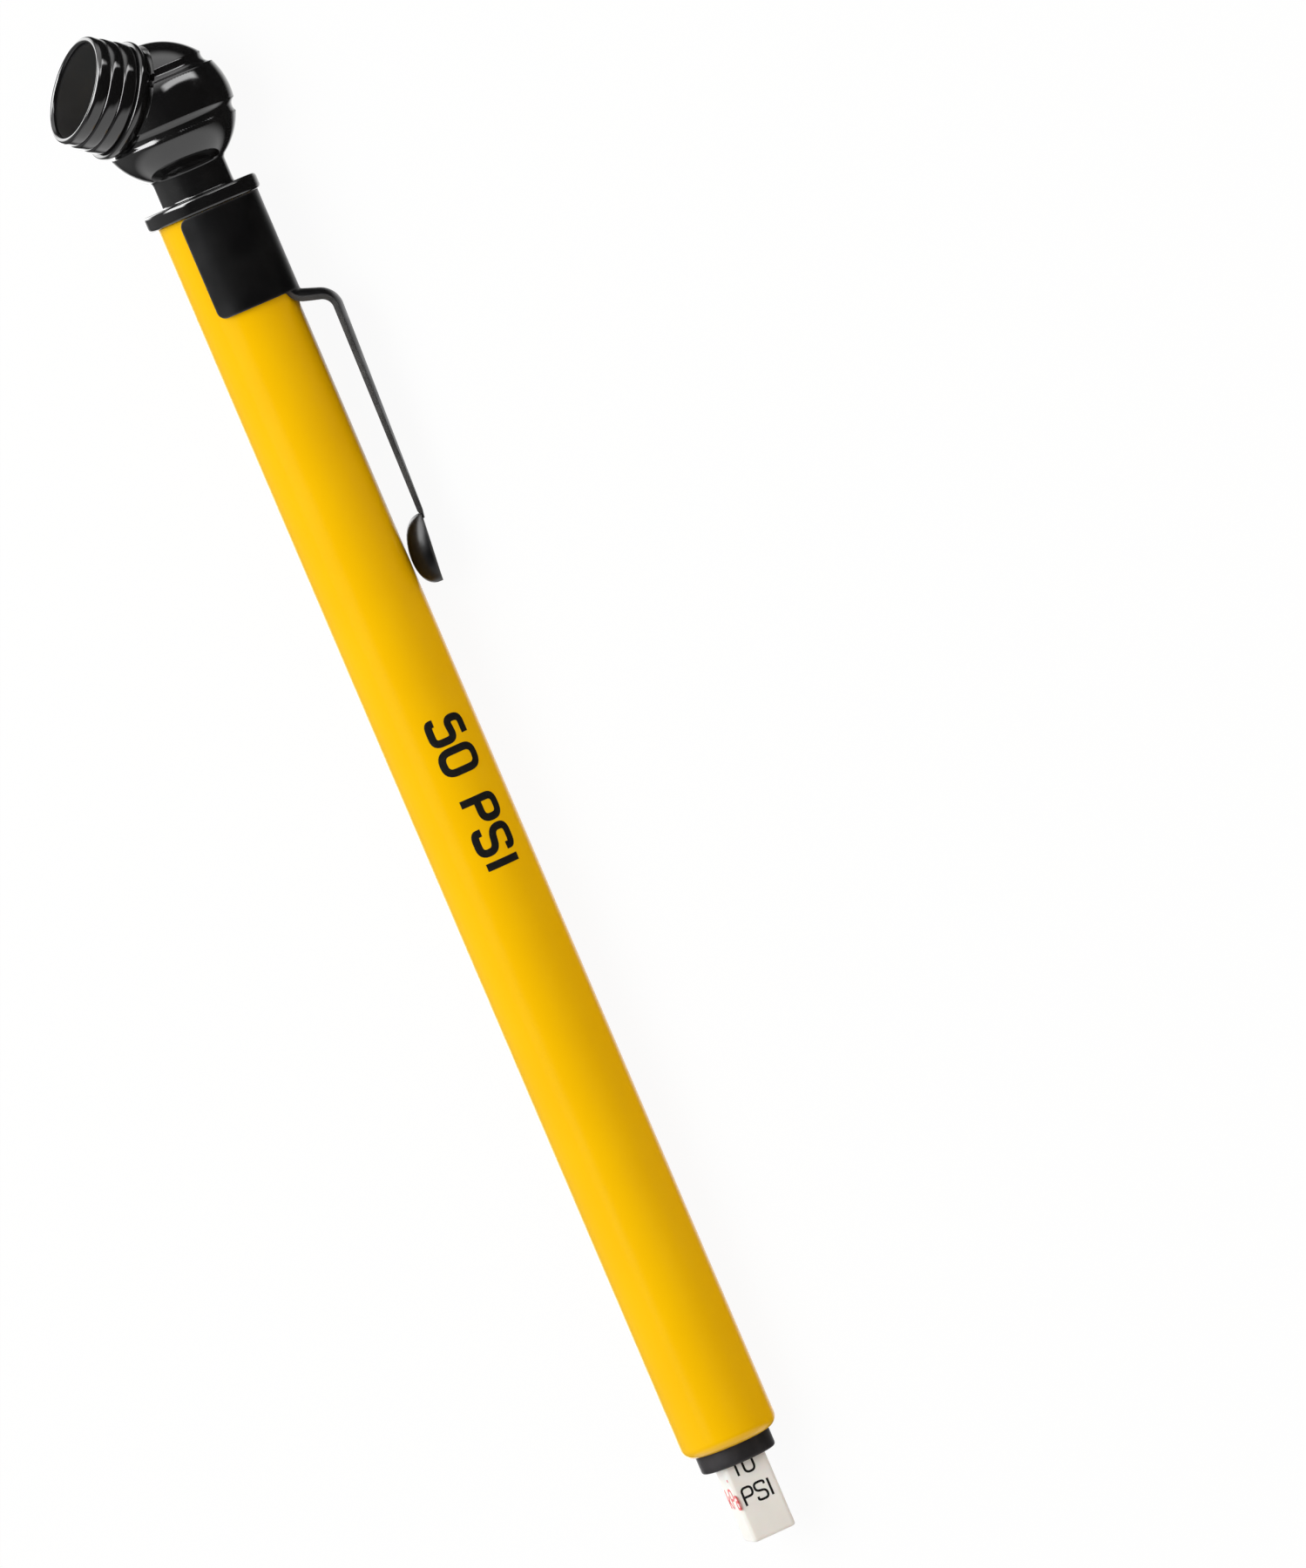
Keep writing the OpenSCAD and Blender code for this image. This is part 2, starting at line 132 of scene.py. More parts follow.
def turned(profile, sides):
    """A profile of (radius, height) turned about the upright axis: (r cos a, r sin a, z)."""
    a = lap(sides)
    r, z = np.array(profile, float).T
    return np.stack([r[:, None] * np.cos(a), r[:, None] * np.sin(a), z[:, None] + 0 * a], -1)


def skin(rings, joined=False):
    """Four-sided faces between neighbouring rings of points. Joined rings close into each other;
    otherwise each end is a fan to the mean of its ring."""
    count, around = rings.shape[:2]
    points = rings.reshape(-1, 3)
    here = np.arange(around)
    beside = (here + 1) % around
    row = np.arange(count if joined else count - 1)[:, None] * around
    above = (row + around) % (count * around)
    quads = np.stack([row + here, row + beside, above + beside, above + here], -1).reshape(-1, 4)
    if joined:
        return points, quads, np.zeros((0, 3), int)
    first, last = len(points), len(points) + 1
    top = (count - 1) * around
    fans = [np.stack([beside, here, 0 * here + first], -1),
            np.stack([top + here, top + beside, 0 * here + last], -1)]
    points = np.concatenate([points, rings[:1].mean(1), rings[-1:].mean(1)])
    return points, quads, np.concatenate(fans)


def volume_of(points, quads, tris):
    """Volume inside a closed mesh: the sum of a . (b x c) / 6 over its triangles."""
    tris = np.concatenate([tris, quads[:, [0, 1, 2]], quads[:, [0, 2, 3]]])
    a, b, c = points[tris].transpose(1, 0, 2)
    return float(np.einsum("ij,ij->", a, np.cross(b, c)) / 6)


def new_object(name, data):
    """An object with this data, put in the scene."""
    made = bpy.data.objects.new(name, data)
    bpy.context.scene.collection.objects.link(made)
    return made


def mark_points(mesh, mark, values):
    """Numbers on a mesh's points, such as how near an edge is, that its finish reads by name."""
    values = np.asarray(values, np.float32).ravel()
    mesh.attributes.new(mark, "FLOAT", "POINT").data.foreach_set("value", values)


def make_piece(name, shells, body, finish, stands_for=(), marks=None, sharp=40):
    """One object from closed shells of (points, quads, tris), turned so that every face looks outward."""
    parts, start = [], 0
    for points, quads, tris in shells:
        flip = -1 if volume_of(points - points.mean(0), quads, tris) < 0 else 1
        parts.append((points, quads[:, ::flip] + start, tris[:, ::flip] + start))
        start += len(points)
    points, quads, tris = map(np.concatenate, zip(*parts))
    mesh = bpy.data.meshes.new(name)
    mesh.from_pydata(to_row(points).tolist(), [], quads.tolist() + tris.tolist())
    for mark, values in (marks or {}).items():
        mark_points(mesh, mark, values)
    mesh.shade_smooth()
    mesh.set_sharp_from_angle(angle=math.radians(sharp))
    mesh.materials.append(finish)
    piece = new_object(name, mesh)
    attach(piece, body)
    if stands_for:
        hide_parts(*stands_for)
    print(f"{name}: {len(quads) * 2 + len(tris)} triangles, {abs(volume_of(points, quads, tris)):.1f} mm3")
    return piece


# %% [markdown]
# A finish is a small net of nodes. The effects that several finishes share are groups:
# fine grain, dust specks, long scuffs and pale edges, the last both wear and a painted highlight.
# They give only masks and heights, and each material keeps its own shader.

# %% Node helpers
def add(tree, kind, options=None, **inputs):
    """One node. Options are its settings; inputs are numbers or sockets, by name, or by place as i0, i1."""
    node = tree.nodes.new("ShaderNode" + kind)
    made = len(tree.nodes)
    node.location = (220 * (made % 7), -260 * (made // 7))
    for key, value in (options or {}).items():
        setattr(node, key, value)
    for key, value in inputs.items():
        place = int(key[1:]) if key[0] == "i" and key[1:].isdigit() else key.replace("_", " ")
        if isinstance(value, bpy.types.NodeSocket):
            tree.links.new(value, node.inputs[place])
        else:
            node.inputs[place].default_value = value
    return node


def maths(tree, operation, *values):
    """A Math node's answer, for any of its operations."""
    inputs = {f"i{place}": value for place, value in enumerate(values)}
    return add(tree, "Math", {"operation": operation}, **inputs).outputs[0]


def product(tree, first, *others):
    """Several numbers multiplied together."""
    for other in others:
        first = maths(tree, "MULTIPLY", first, other)
    return first


def remap(tree, value, low, high, to_low=0.0, to_high=1.0):
    """A smooth step of value from low to high, given as to_low to to_high."""
    options = {"interpolation_type": "SMOOTHSTEP"}
    return add(tree, "MapRange", options, i0=value, i1=low, i2=high, i3=to_low, i4=to_high).outputs[0]


def noise(tree, place, scale, detail=2.0, rough=0.5):
    """Noise from 0 to 1 with grains of about 1 / scale metres."""
    return add(tree, "TexNoise", Vector=place, Scale=scale, Detail=detail, Roughness=rough).outputs[0]


def mixed(tree, share, first, second):
    """A colour between first and second."""
    first, second = (c if isinstance(c, bpy.types.NodeSocket) else (*c, 1) for c in (first, second))
    return add(tree, "Mix", {"data_type": "RGBA"}, i0=share, i6=first, i7=second).outputs[2]


def new_group(name, output, **numbers):
    """An empty shared group that takes a place and some numbers and gives one output, and its two ends."""
    tree = bpy.data.node_groups.new(name, "ShaderNodeTree")
    tree.interface.new_socket("Place", in_out="INPUT", socket_type="NodeSocketVector")
    for label, default in numbers.items():
        socket = tree.interface.new_socket(label, in_out="INPUT", socket_type="NodeSocketFloat")
        socket.default_value = default
    tree.interface.new_socket(output, in_out="OUTPUT", socket_type="NodeSocketFloat")
    return tree, tree.nodes.new("NodeGroupInput").outputs, tree.nodes.new("NodeGroupOutput").inputs


def shared(tree, group, place, **inputs):
    """A shared group's answer inside a material."""
    return add(tree, "Group", {"node_tree": group}, Place=place, **inputs).outputs[0]


def marked(tree, mark):
    """The numbers that a mesh carries on its points under this name."""
    return add(tree, "Attribute", {"attribute_name": mark}).outputs["Fac"]


def empty_tree(owner):
    """The node tree of a material or of the world, cleared."""
    owner.use_nodes = True
    owner.node_tree.nodes.clear()
    return owner.node_tree


def new_finish(name, **fixed):
    """A material with one Principled shader, its Object coordinates, and the shader's fixed numbers."""
    material = bpy.data.materials.new(name)
    tree = empty_tree(material)
    shader = add(tree, "BsdfPrincipled", **fixed)
    tree.links.new(shader.outputs[0], add(tree, "OutputMaterial").inputs[0])
    return material, tree, shader, add(tree, "TexCoord").outputs["Object"]


def coat(tree, shader, colour, rough, height, depth):
    """The shader's colour, roughness and bump, in which height 1 stands depth metres proud."""
    bump = add(tree, "Bump", Height=height, Distance=depth).outputs[0]
    for name, value in (("Base Color", colour), ("Roughness", rough), ("Normal", bump)):
        tree.links.new(value, shader.inputs[name])


def linear(red, green, blue):
    """A colour written as 0 to 255 on a screen, as the linear numbers a shader takes."""
    c = np.array([red, green, blue]) / 255
    return tuple(np.where(c <= 0.04045, c / 12.92, ((c + 0.055) / 1.055) ** 2.4).tolist())


# %% Shared effects
fine_grain, inside, end = new_group("fine_grain", "Height", Scale=4000.0)
coarse = noise(fine_grain, inside["Place"], inside["Scale"], 3.0, 0.6)
finer = noise(fine_grain, inside["Place"], product(fine_grain, inside["Scale"], 3.1), 1.0)
both = maths(fine_grain, "ADD", product(fine_grain, coarse, 0.7), product(fine_grain, finer, 0.3))
fine_grain.links.new(both, end["Height"])

dust_specks, inside, end = new_group("dust_specks", "Mask", Scale=900.0, Amount=0.1, Size=0.1)
cells = add(dust_specks, "TexVoronoi", Vector=inside["Place"], Scale=inside["Scale"])
lucky = add(dust_specks, "SeparateColor", Color=cells.outputs["Color"])
chosen = maths(dust_specks, "LESS_THAN", lucky.outputs[0], inside["Amount"])
size = product(dust_specks, inside["Size"], lucky.outputs[1])
near = maths(dust_specks, "LESS_THAN", cells.outputs["Distance"], size)
dust_specks.links.new(product(dust_specks, chosen, near), end["Mask"])

scuffs, inside, end = new_group("scuffs", "Mask", Scale=250.0, Amount=0.5)
drawn_out = add(scuffs, "Mapping", {"vector_type": "TEXTURE"}, Vector=inside["Place"], Scale=(9.0, 1.0, 1.0))
fine_lines = noise(scuffs, drawn_out.outputs[0], product(scuffs, inside["Scale"], 14.0), 2.0, 0.7)
patches = noise(scuffs, inside["Place"], inside["Scale"])
lines, shown = remap(scuffs, fine_lines, 0.56, 0.7), remap(scuffs, patches, 0.42, 0.62)
scuffs.links.new(product(scuffs, lines, shown, inside["Amount"]), end["Mask"])

# Pale edges: wear of the finish together with a painted highlight along the edges.
edge_wear_and_highlight, inside, end = new_group("edge_wear_and_highlight", "Mask", Near=0.0, Scale=1500.0)
broken = noise(edge_wear_and_highlight, inside["Place"], inside["Scale"], 3.0, 0.7)
patchy = remap(edge_wear_and_highlight, broken, 0.3, 0.7, 0.4, 1.0)
edge_wear_and_highlight.links.new(product(edge_wear_and_highlight, inside["Near"], patchy), end["Mask"])
print("shared effects:", [group.name for group in bpy.data.node_groups])


def mottled(name, mottle, colours, roughness, grain, **fixed):
    """A finish that wanders between two tones and two roughnesses, with fine grain on its skin.
    mottle is the noise's scale, detail and roughness, and the two values it runs between.
    grain is its scale and its depth."""
    material, tree, shader, place = new_finish(name, **fixed)
    patch = remap(tree, noise(tree, place, *mottle[:3]), *mottle[3:])
    height = shared(tree, fine_grain, place, Scale=grain[0])
    coat(tree, shader, mixed(tree, patch, *colours), remap(tree, patch, 0, 1, *roughness), height, grain[1])
    return material


# %% [markdown]
# The tube is drawn brass, 9.5 mm across, rolled inwards at the tail to hold the guide, and lacquered yellow.
# One closed section is turned about the axis. The cut edge at the chuck is only broken.

# %% Tube
TUBE_R, TUBE_LENGTH, WALL, ROLL = 4.75, 124.5, 0.5, 1.15
EDGE_OUT, EDGE_IN = 0.06, 0.05  # how far the cut edge is broken, outside and inside
ROUND_TUBE = 192

roll_middle = (TUBE_R - ROLL, ROLL)
tube_section = np.concatenate([
    [[TUBE_R - EDGE_OUT, TUBE_LENGTH], [TUBE_R, TUBE_LENGTH - EDGE_OUT], [TUBE_R, TUBE_LENGTH - 0.3]],
    np.stack([np.full(24, TUBE_R), np.linspace(TUBE_LENGTH - 5, 1.5, 24)], -1),
    arc(roll_middle, ROLL, 0, -84, 18),
    arc(roll_middle, ROLL - WALL, -84, 0, 18),
    [[TUBE_R - WALL, 2], [TUBE_R - WALL, TUBE_LENGTH - 0.2], [TUBE_R - WALL + EDGE_IN, TUBE_LENGTH]],
])

# %% [markdown]
# The lacquer is a deep warm yellow with a faint orange-peel skin. On the rolled edge its colour is painted paler,
# a painted highlight where the roll catches the light.
# Handling leaves fine scuffs that show only in the gloss, so they work on roughness alone.

# %% Yellow lacquer
lacquer, tree, shader, place = new_finish("yellow_lacquer", IOR=1.3)
slow = remap(tree, noise(tree, place, 90.0), 0.3, 0.7)
colour = mixed(tree, slow, (0.94, 0.53, 0.0005), (0.92, 0.51, 0.0004))
# Painted highlight: over the last millimetre at the tail the yellow is mixed towards pale yellow.
colour = mixed(tree, remap(tree, marked(tree, "height"), 0.1, 0.9, 0.35, 0.0), colour, linear(255, 214, 90))
specks = shared(tree, dust_specks, place, Scale=900.0, Amount=0.03, Size=0.09)
colour = mixed(tree, product(tree, specks, 0.3), colour, linear(190, 140, 20))
marks = shared(tree, scuffs, place, Scale=220.0, Amount=0.07)
rough = maths(tree, "ADD", remap(tree, noise(tree, place, 60.0, 3.0), 0.35, 0.7, 0.1, 0.13), marks)
coat(tree, shader, colour, rough, noise(tree, place, 1100.0, 2.0, 0.4), 0.000012)

tube_rings = turned(tube_section, ROUND_TUBE)
make_piece("tube", [skin(tube_rings, joined=True)], "gauge_body", lacquer, ["barrel"],
           {"height": tube_rings[..., 2]})

# %% [markdown]
# The chuck head is one black moulding: a ball with two grooves round it, a ribbed mouth set at an angle,
# a neck, a flange that stops against the tube, and a spigot inside the tube.
# The record's mount gives the mouth's axis and the ball's middle.

# %% The mouth's own axes
BALL_R = 6.7
MOUNT_RISE = 6.7  # the mount stands this far along the mouth's axis from the ball's middle

mount = next(m for m in frame["record"]["mounts"] if m["name"] == "valve_mouth")
mouth_out = axes @ np.array(mount["axis"], float)
ball_middle = axes @ (1000 * np.array(mount["pos_m"], float) - tail_point) - MOUNT_RISE * mouth_out
mouth_x = np.cross(mouth_out, [0, 0, 1])
mouth_x /= np.linalg.norm(mouth_x)
mouth_axes = np.stack([mouth_x, np.cross(mouth_out, mouth_x), mouth_out])


def about_mouth(points):
    """Points drawn upright on the mouth's axis, height 0 at the ball's middle, put in their place."""
    return ball_middle + points @ mouth_axes


print("ball's middle", ball_middle.round(3), "mouth's axis", mouth_out.round(4))

# %% [markdown]
# The rings of points run round the mouth's axis: up inside the mouth, over its lip, down the ribs,
# through the ditch at the collar's root and all round the ball to the far side.
# On the ball, a ring's distance from the middle follows the grooves and the ditch.

# %% Ball, grooves and collar
GROOVE_R, GROOVE_DEPTH, GROOVE_BLUR = 0.8, 0.31, 0.05
GROOVES = (-1.8, 3.65)  # their heights above the ball's middle
DITCH_DEPTH, DITCH_EDGE = 0.45, math.radians(55.5)
MOUTH_R, POCKET_R, LIP_R, LIP_D = 4.5, 4.28, 0.3, 9.0
CORE_R, COLLAR_END = 4.93, 5.34  # the collar's radius between its ribs, and where its shoulder starts
# Each rib's middle, half width and crest radius
RIBS = np.array([[8.62, 0.67, 5.13], [7.32, 0.66, 5.24], [6.0, 0.68, 5.3]])
RIB_HEIGHT, RIB_POWER, RIB_BLUR = 0.27, 3.2, 0.012
ROUND_MOUTH, ROOT_RINGS, BALL_RINGS, BALL_FAR = 240, 14, 149, math.radians(179.4)


def smooth(value, low, high):
    """A smooth step: 3t^2 - 2t^3 with t from 0 at low to 1 at high."""
    t = np.clip((value - low) / (high - low), 0, 1)
    return t * t * (3 - 2 * t)


def soft_max(values, blur):
    """The largest of several numbers with its corners rounded:
    blur times log of the sum of exp(value / blur)."""
    values = np.array(values) / blur
    top = values.max(0)
    return blur * (top + np.log(np.exp(values - top).sum(0)))


def collar_radius(d):
    """Radius of the ribbed collar at distance d from the ball's middle: the largest of its core and its ribs,
    each a flat arch: crest - height + height (1 - |x / half width|^p)^(1 / p), with p = RIB_POWER."""
    off = np.abs(d[None] - RIBS[:, :1]) / RIBS[:, 1:2]
    arch = np.clip(1 - off**RIB_POWER, 0, None) ** (1 / RIB_POWER)
    bulge = np.where(off < 1, RIBS[:, 2:] - RIB_HEIGHT * (1 - arch), 0)
    return soft_max([*bulge, np.full(len(d), CORE_R)], RIB_BLUR)


def ball_reach(polar):
    """Distance from the ball's middle to its skin at a polar angle: its radius, or where the ray meets
    a groove's circle. A circle of radius g at distance c from the middle
    is met at c cos(a) - sqrt(g^2 - c^2 sin(a)^2)."""
    reach = [np.full(polar.shape, -BALL_R)]
    for height in GROOVES:
        ring = math.sqrt(BALL_R**2 - height**2) + GROOVE_R - GROOVE_DEPTH
        far, lean = math.hypot(ring, height), polar - math.atan2(ring, height)
        swing = far * np.sin(lean)
        hit = far * np.cos(lean) - np.sqrt(np.clip(GROOVE_R**2 - swing**2, 0, None))
        reach.append(np.where(np.abs(swing) < GROOVE_R, -hit, -2 * BALL_R))
    return -soft_max(reach, GROOVE_BLUR)


collar_d = np.linspace(LIP_D, COLLAR_END, 96)
bore = [[1.5, 1.4], [4.1, 1.4], [POCKET_R, 1.55], [POCKET_R, 4.2], [POCKET_R + 0.02, 4.28],
        [POCKET_R + 0.06, 4.3], [MOUTH_R - 0.05, 4.3], [MOUTH_R, 4.35], [MOUTH_R, 4.6],
        [MOUTH_R, 6.5], [MOUTH_R, 8.7]]
shoulder = [(4.97, 5.32), (5.12, 5.26), (5.52, 5.22), (5.62, 5.1), (5.62, 4.75), (5.25, 4.15)]
mouth_section = np.concatenate([
    bore,
    arc((MOUTH_R + LIP_R, LIP_D), LIP_R, 180, 5, 12),
    np.stack([collar_radius(collar_d), collar_d], -1),
    rounded(shoulder, 0.2, closed=False)[1:],
])
collar_rings = about_mouth(turned(mouth_section, ROUND_MOUTH))

# From the collar's root to the ditch's far edge, where down_root goes from 0 to 1, and on round the ball
root_r, root_d = mouth_section[-1]
root_from = math.atan2(root_r, root_d)
down_root = np.concatenate([np.linspace(0, 1, ROOT_RINGS + 1)[1:], np.ones(BALL_RINGS)])
off_axis = root_from + down_root * (DITCH_EDGE - root_from)
off_axis[ROOT_RINGS:] = np.linspace(DITCH_EDGE, BALL_FAR, BALL_RINGS + 1)[1:]
down_root = down_root[:, None]
unit = turned(np.stack([np.sin(off_axis), np.cos(off_axis)], -1), ROUND_MOUTH) @ mouth_axes
polar = np.arccos(np.clip(unit[..., 2], -1, 1))
above_groove = smooth(BALL_R * np.cos(polar), GROOVES[0] - 0.45, GROOVES[0] + 0.15)
ditch = DITCH_DEPTH * above_groove * smooth(down_root, 0, 0.3) * smooth(1 - down_root, 0, 0.16)
reach = ball_reach(polar) - ditch + (math.hypot(root_r, root_d) - BALL_R) * (1 - down_root)
ball_rings = ball_middle + reach[..., None] * unit
head_skin = skin(np.concatenate([collar_rings, ball_rings]))
cored = np.zeros(len(head_skin[0]))
cored[:len(bore) * ROUND_MOUTH] = 1
print(len(collar_rings), "collar rings,", len(ball_rings), "ball rings")

# %% [markdown]
# The neck, flange and spigot are turned on the tube's axis, with the air passage through them.
# The neck runs up inside the ball, with a small fillet where they meet.

# %% Neck, flange and spigot
PASSAGE_R, SPIGOT_R, SEAT_R, FLANGE_R, NECK_R = 1.0, 4.23, 3.33, 5.65, 3.6

neck_section = rounded(
    [(PASSAGE_R, 116.5), (SPIGOT_R, 116.5), (SPIGOT_R, 119.96), (SEAT_R, 119.96), (SEAT_R, 121.04),
     (SPIGOT_R, 121.04), (SPIGOT_R, TUBE_LENGTH), (FLANGE_R, TUBE_LENGTH), (FLANGE_R, 126.0), (NECK_R, 126.0),
     (NECK_R, 128.4), (4.0, 128.95), (PASSAGE_R, 129.9)],
    [0.1, 0.15, 0.03, 0.1, 0.1, 0.03, 0.02, 0.4, 0.42, 0.22, 0.22, 0.1, 0.1])
neck_skin = skin(turned(neck_section, 160), joined=True)

# %% [markdown]
# The moulding is near black and glossy, with faint flow waves, a greasy smear here and there and a few specks
# of dust. Inside the mouth the core left it dull and greyer.

# %% Gloss black
gloss, tree, shader, place = new_finish("black_gloss", IOR=1.6)
dust = shared(tree, dust_specks, place, Scale=1500.0, Amount=0.05, Size=0.16)
smear = remap(tree, noise(tree, place, 210.0, 4.0, 0.6), 0.45, 0.75)
tone = mixed(tree, smear, (0.006, 0.006, 0.0065), (0.011, 0.011, 0.0115))
core = marked(tree, "cored")
tone = mixed(tree, core, tone, (0.04, 0.04, 0.041))
tone = mixed(tree, product(tree, dust, 0.5), tone, (0.3, 0.3, 0.3))
rough = maths(tree, "MULTIPLY_ADD", smear, 0.07, 0.07)
rough = maths(tree, "MULTIPLY_ADD", core, 0.4, rough)
rough = maths(tree, "ADD", rough, shared(tree, scuffs, place, Scale=380.0, Amount=0.12))
rough = maths(tree, "MAXIMUM", rough, product(tree, dust, 0.6))
waves = maths(tree, "ADD", noise(tree, place, 330.0, 1.0), product(tree, dust, 0.4))
coat(tree, shader, tone, rough, waves, 0.00002)

make_piece("chuck", [head_skin, neck_skin], "gauge_body", gloss, ["chuck_head"],
           {"cored": np.concatenate([cored, np.zeros(len(neck_skin[0]))])}, sharp=50)

# %% [markdown]
# Inside the mouth a rubber washer seals on the valve stem. Its face is flat with a soft outer edge,
# and the brass pin that opens the tyre's valve stands through its bevelled middle.

# %% Rubber washer
rubber = mottled("black_rubber", (500.0, 4.0, 0.6, 0.35, 0.75),
                 ((0.012, 0.012, 0.012), (0.035, 0.034, 0.032)),
                 (0.55, 0.8), (5000.0, 0.00001), IOR=1.45)

washer_section = rounded([(1.6, 2.3), (4.26, 2.3), (4.26, 4.2), (2.35, 4.2), (1.95, 3.7), (1.6, 3.6)],
                         [0.05, 0.08, 0.2, 0.15, 0.15, 0.06])
make_piece("valve_washer", [skin(about_mouth(turned(washer_section, 128)), joined=True)],
           "gauge_body", rubber, ["valve_seal"])

# %% [markdown]
# The pocket clip is one strip of spring steel half a millimetre thick, blanked flat, then rolled and bent.
# Its band wraps two thirds of the tube. A tongue bends out of it, runs down beside the tube
# and ends in a spoon that presses on it. So the clip is one sheet here too, drawn in place of the frame's two clip
# parts.

# %% Clip sheet
SHEET, BAND_R, BAND_TOP, BAND_LOW = 0.5, 5.03, 124.47, 114.55
HALF_WRAP, CORNER, BROKEN = BAND_R * math.radians(120), 0.85, 0.12
TONGUE, ROOT_FILLET, NECK = 2.75, 0.45, 1.25  # half widths at the tongue's root and at the spoon
CROWN = 0.9  # the tongue's curve across: about twice its crown's height at the root, fading downwards
SLOPE, TIGHT, EASY = 70, 0.45, 2.0  # degrees out of the band, and the two bends' radii
ARM_MIDDLE = 8.18  # how far from the tube's axis the arm's middle starts
SPOON_Z, SPOON_X, SPOON_DEEP, SPOON_LONG, SPOON_WIDE = 87.65, 7.13, 2.0, 3.05, 2.3
SPOON_LEAN = 0.09  # the spoon's rim comes nearer the tube downwards, by this share of its length
PALE_EDGE, BEND_STEPS = 0.16, 60  # the edges are painted pale this near them, partly wear and partly a painted highlight; points in each bend

span = np.linspace(-1, 1, 29)
ends = 1 - (1 - np.linspace(0, 1, 37)[1:]) ** 1.7
outer = TONGUE + ROOT_FILLET + ends * (HALF_WRAP - TONGUE - ROOT_FILLET)
columns = np.concatenate([-outer[::-1], span * (TONGUE + ROOT_FILLET), outer])
from_end = HALF_WRAP - np.abs(columns)
near_end = np.clip(CORNER - from_end, 0, None)
half_height = (BAND_TOP - BAND_LOW) / 2 - (CORNER - np.sqrt(CORNER**2 - near_end**2))
rows = np.sin(np.linspace(math.pi / 2, -math.pi / 2, 36))[:, None]
band_z = (BAND_TOP + BAND_LOW) / 2 + rows * half_height
wrap = columns / BAND_R + 0 * band_z
band_points = np.stack([BAND_R * np.cos(wrap), BAND_R * np.sin(wrap), band_z], -1)
band_edge = np.minimum(from_end, half_height * (1 - np.abs(rows)))


def beside_tube(u):
    """The tongue's place in the side view, (out, up), at length u from its root."""
    return np.interp(u, run, path[:, 0]), np.interp(u, run, path[:, 1])


cos_slope, sin_slope = math.cos(math.radians(SLOPE)), math.sin(math.radians(SLOPE))
high = arc((BAND_R + TIGHT, BAND_LOW), TIGHT, 180, 180 + SLOPE, BEND_STEPS)
slant = (ARM_MIDDLE - BAND_R - (TIGHT + EASY) * (1 - cos_slope)) / sin_slope
arm_top = high[-1, 1] - slant * cos_slope - EASY * sin_slope
low = arc((ARM_MIDDLE - EASY, arm_top), EASY, SLOPE, 0, BEND_STEPS)
spoon_start = [SPOON_X + SPOON_LEAN * SPOON_LONG + 0.02, SPOON_Z + SPOON_LONG - 0.1]
path = np.concatenate([high, low, low[-1] + np.linspace(0, 1, 200)[1:, None] * (spoon_start - low[-1])])
run = lengths(path)
bend_end = run[2 * BEND_STEPS - 1]
u = np.concatenate([[0.02, 0.06, 0.12, 0.2, 0.3, 0.45], np.linspace(0.6, bend_end, 30),
                    np.linspace(bend_end, run[-1], 36)[1:]])[:, None]
x, z = beside_tube(u)
dx, dz = np.subtract(beside_tube(u + 0.02), beside_tube(u - 0.02))
length = np.hypot(dx, dz)
fillet = ROOT_FILLET * (1 - np.sqrt(1 - np.clip(1 - u / ROOT_FILLET, 0, 1) ** 2))
half_width = TONGUE + fillet - (TONGUE - NECK) * np.clip((u - bend_end) / (run[-1] - bend_end), 0, 1)
crown = CROWN * (half_width - NECK + 0.1) / (TONGUE - NECK) / half_width**2
curl = crown + (1 / BAND_R - crown) * (1 - smooth(u, 0, bend_end))
s = span * half_width
sag = (1 - np.cos(s * curl)) / curl
arm_points = np.stack([x + dz / length * sag, np.sin(s * curl) / curl, z - dx / length * sag], -1)
arm_edge = (1 - np.abs(span)) * half_width

# The spoon is half an egg: depth = deep sin(f)^0.7 sqrt(1 - w^2), at angle f along it and share w across it
f = np.radians(np.linspace(4, 172, 44))[:, None]
spoon_half = np.hypot(SPOON_WIDE * np.sin(f) ** 0.8, NECK * (1 - smooth(f, 0, 1.2)))
w = span + (np.sin(span * math.pi / 2) - span) * smooth(f, 0, 0.5)
depth = SPOON_DEEP * np.sin(f) ** 0.7 * np.sqrt(np.clip(1 - w**2, 0, 1))
rise = SPOON_LONG * np.cos(f) + 0 * w
spoon_points = np.stack([SPOON_X + SPOON_LEAN * rise - depth, w * spoon_half, SPOON_Z + rise], -1)
spoon_edge = np.minimum((1 - np.abs(span)) * spoon_half, SPOON_LONG * (np.cos(f) + 1))

wide, narrow = len(columns), len(span)
points = np.concatenate([part.reshape(-1, 3) for part in (band_points, arm_points, spoon_points)])
edge = np.concatenate([part.ravel() for part in (band_edge, arm_edge, spoon_edge)])
band_index = np.arange(band_z.size).reshape(-1, wide)
tongue_index = band_z.size + np.arange(len(points) - band_z.size).reshape(-1, narrow)
tongue_index = np.concatenate([band_index[-1:, len(outer):len(outer) + narrow], tongue_index])
quads = np.concatenate([np.stack([i[:-1, :-1], i[1:, :-1], i[1:, 1:], i[:-1, 1:]], -1).reshape(-1, 4)
                        for i in (band_index, tongue_index)])
clip_mesh = bpy.data.meshes.new("pocket_clip")
clip_mesh.from_pydata(to_row(points).tolist(), [], quads.tolist())
mark_points(clip_mesh, "edge", np.clip(1 - edge / PALE_EDGE, 0, 1))
clip_mesh.shade_smooth()
pocket_clip = new_object("pocket_clip", clip_mesh)
thick = pocket_clip.modifiers.new("thickness", "SOLIDIFY")
thick.thickness, thick.offset, thick.use_even_offset = SHEET / 1000, 0, False
soft = pocket_clip.modifiers.new("broken_edges", "BEVEL")
soft.width, soft.segments, soft.limit_method, soft.angle_limit = BROKEN / 1000, 2, "ANGLE", math.radians(55)
print("clip sheet:", len(quads), "faces, bends end after", round(bend_end, 2), "mm of", round(run[-1], 2))
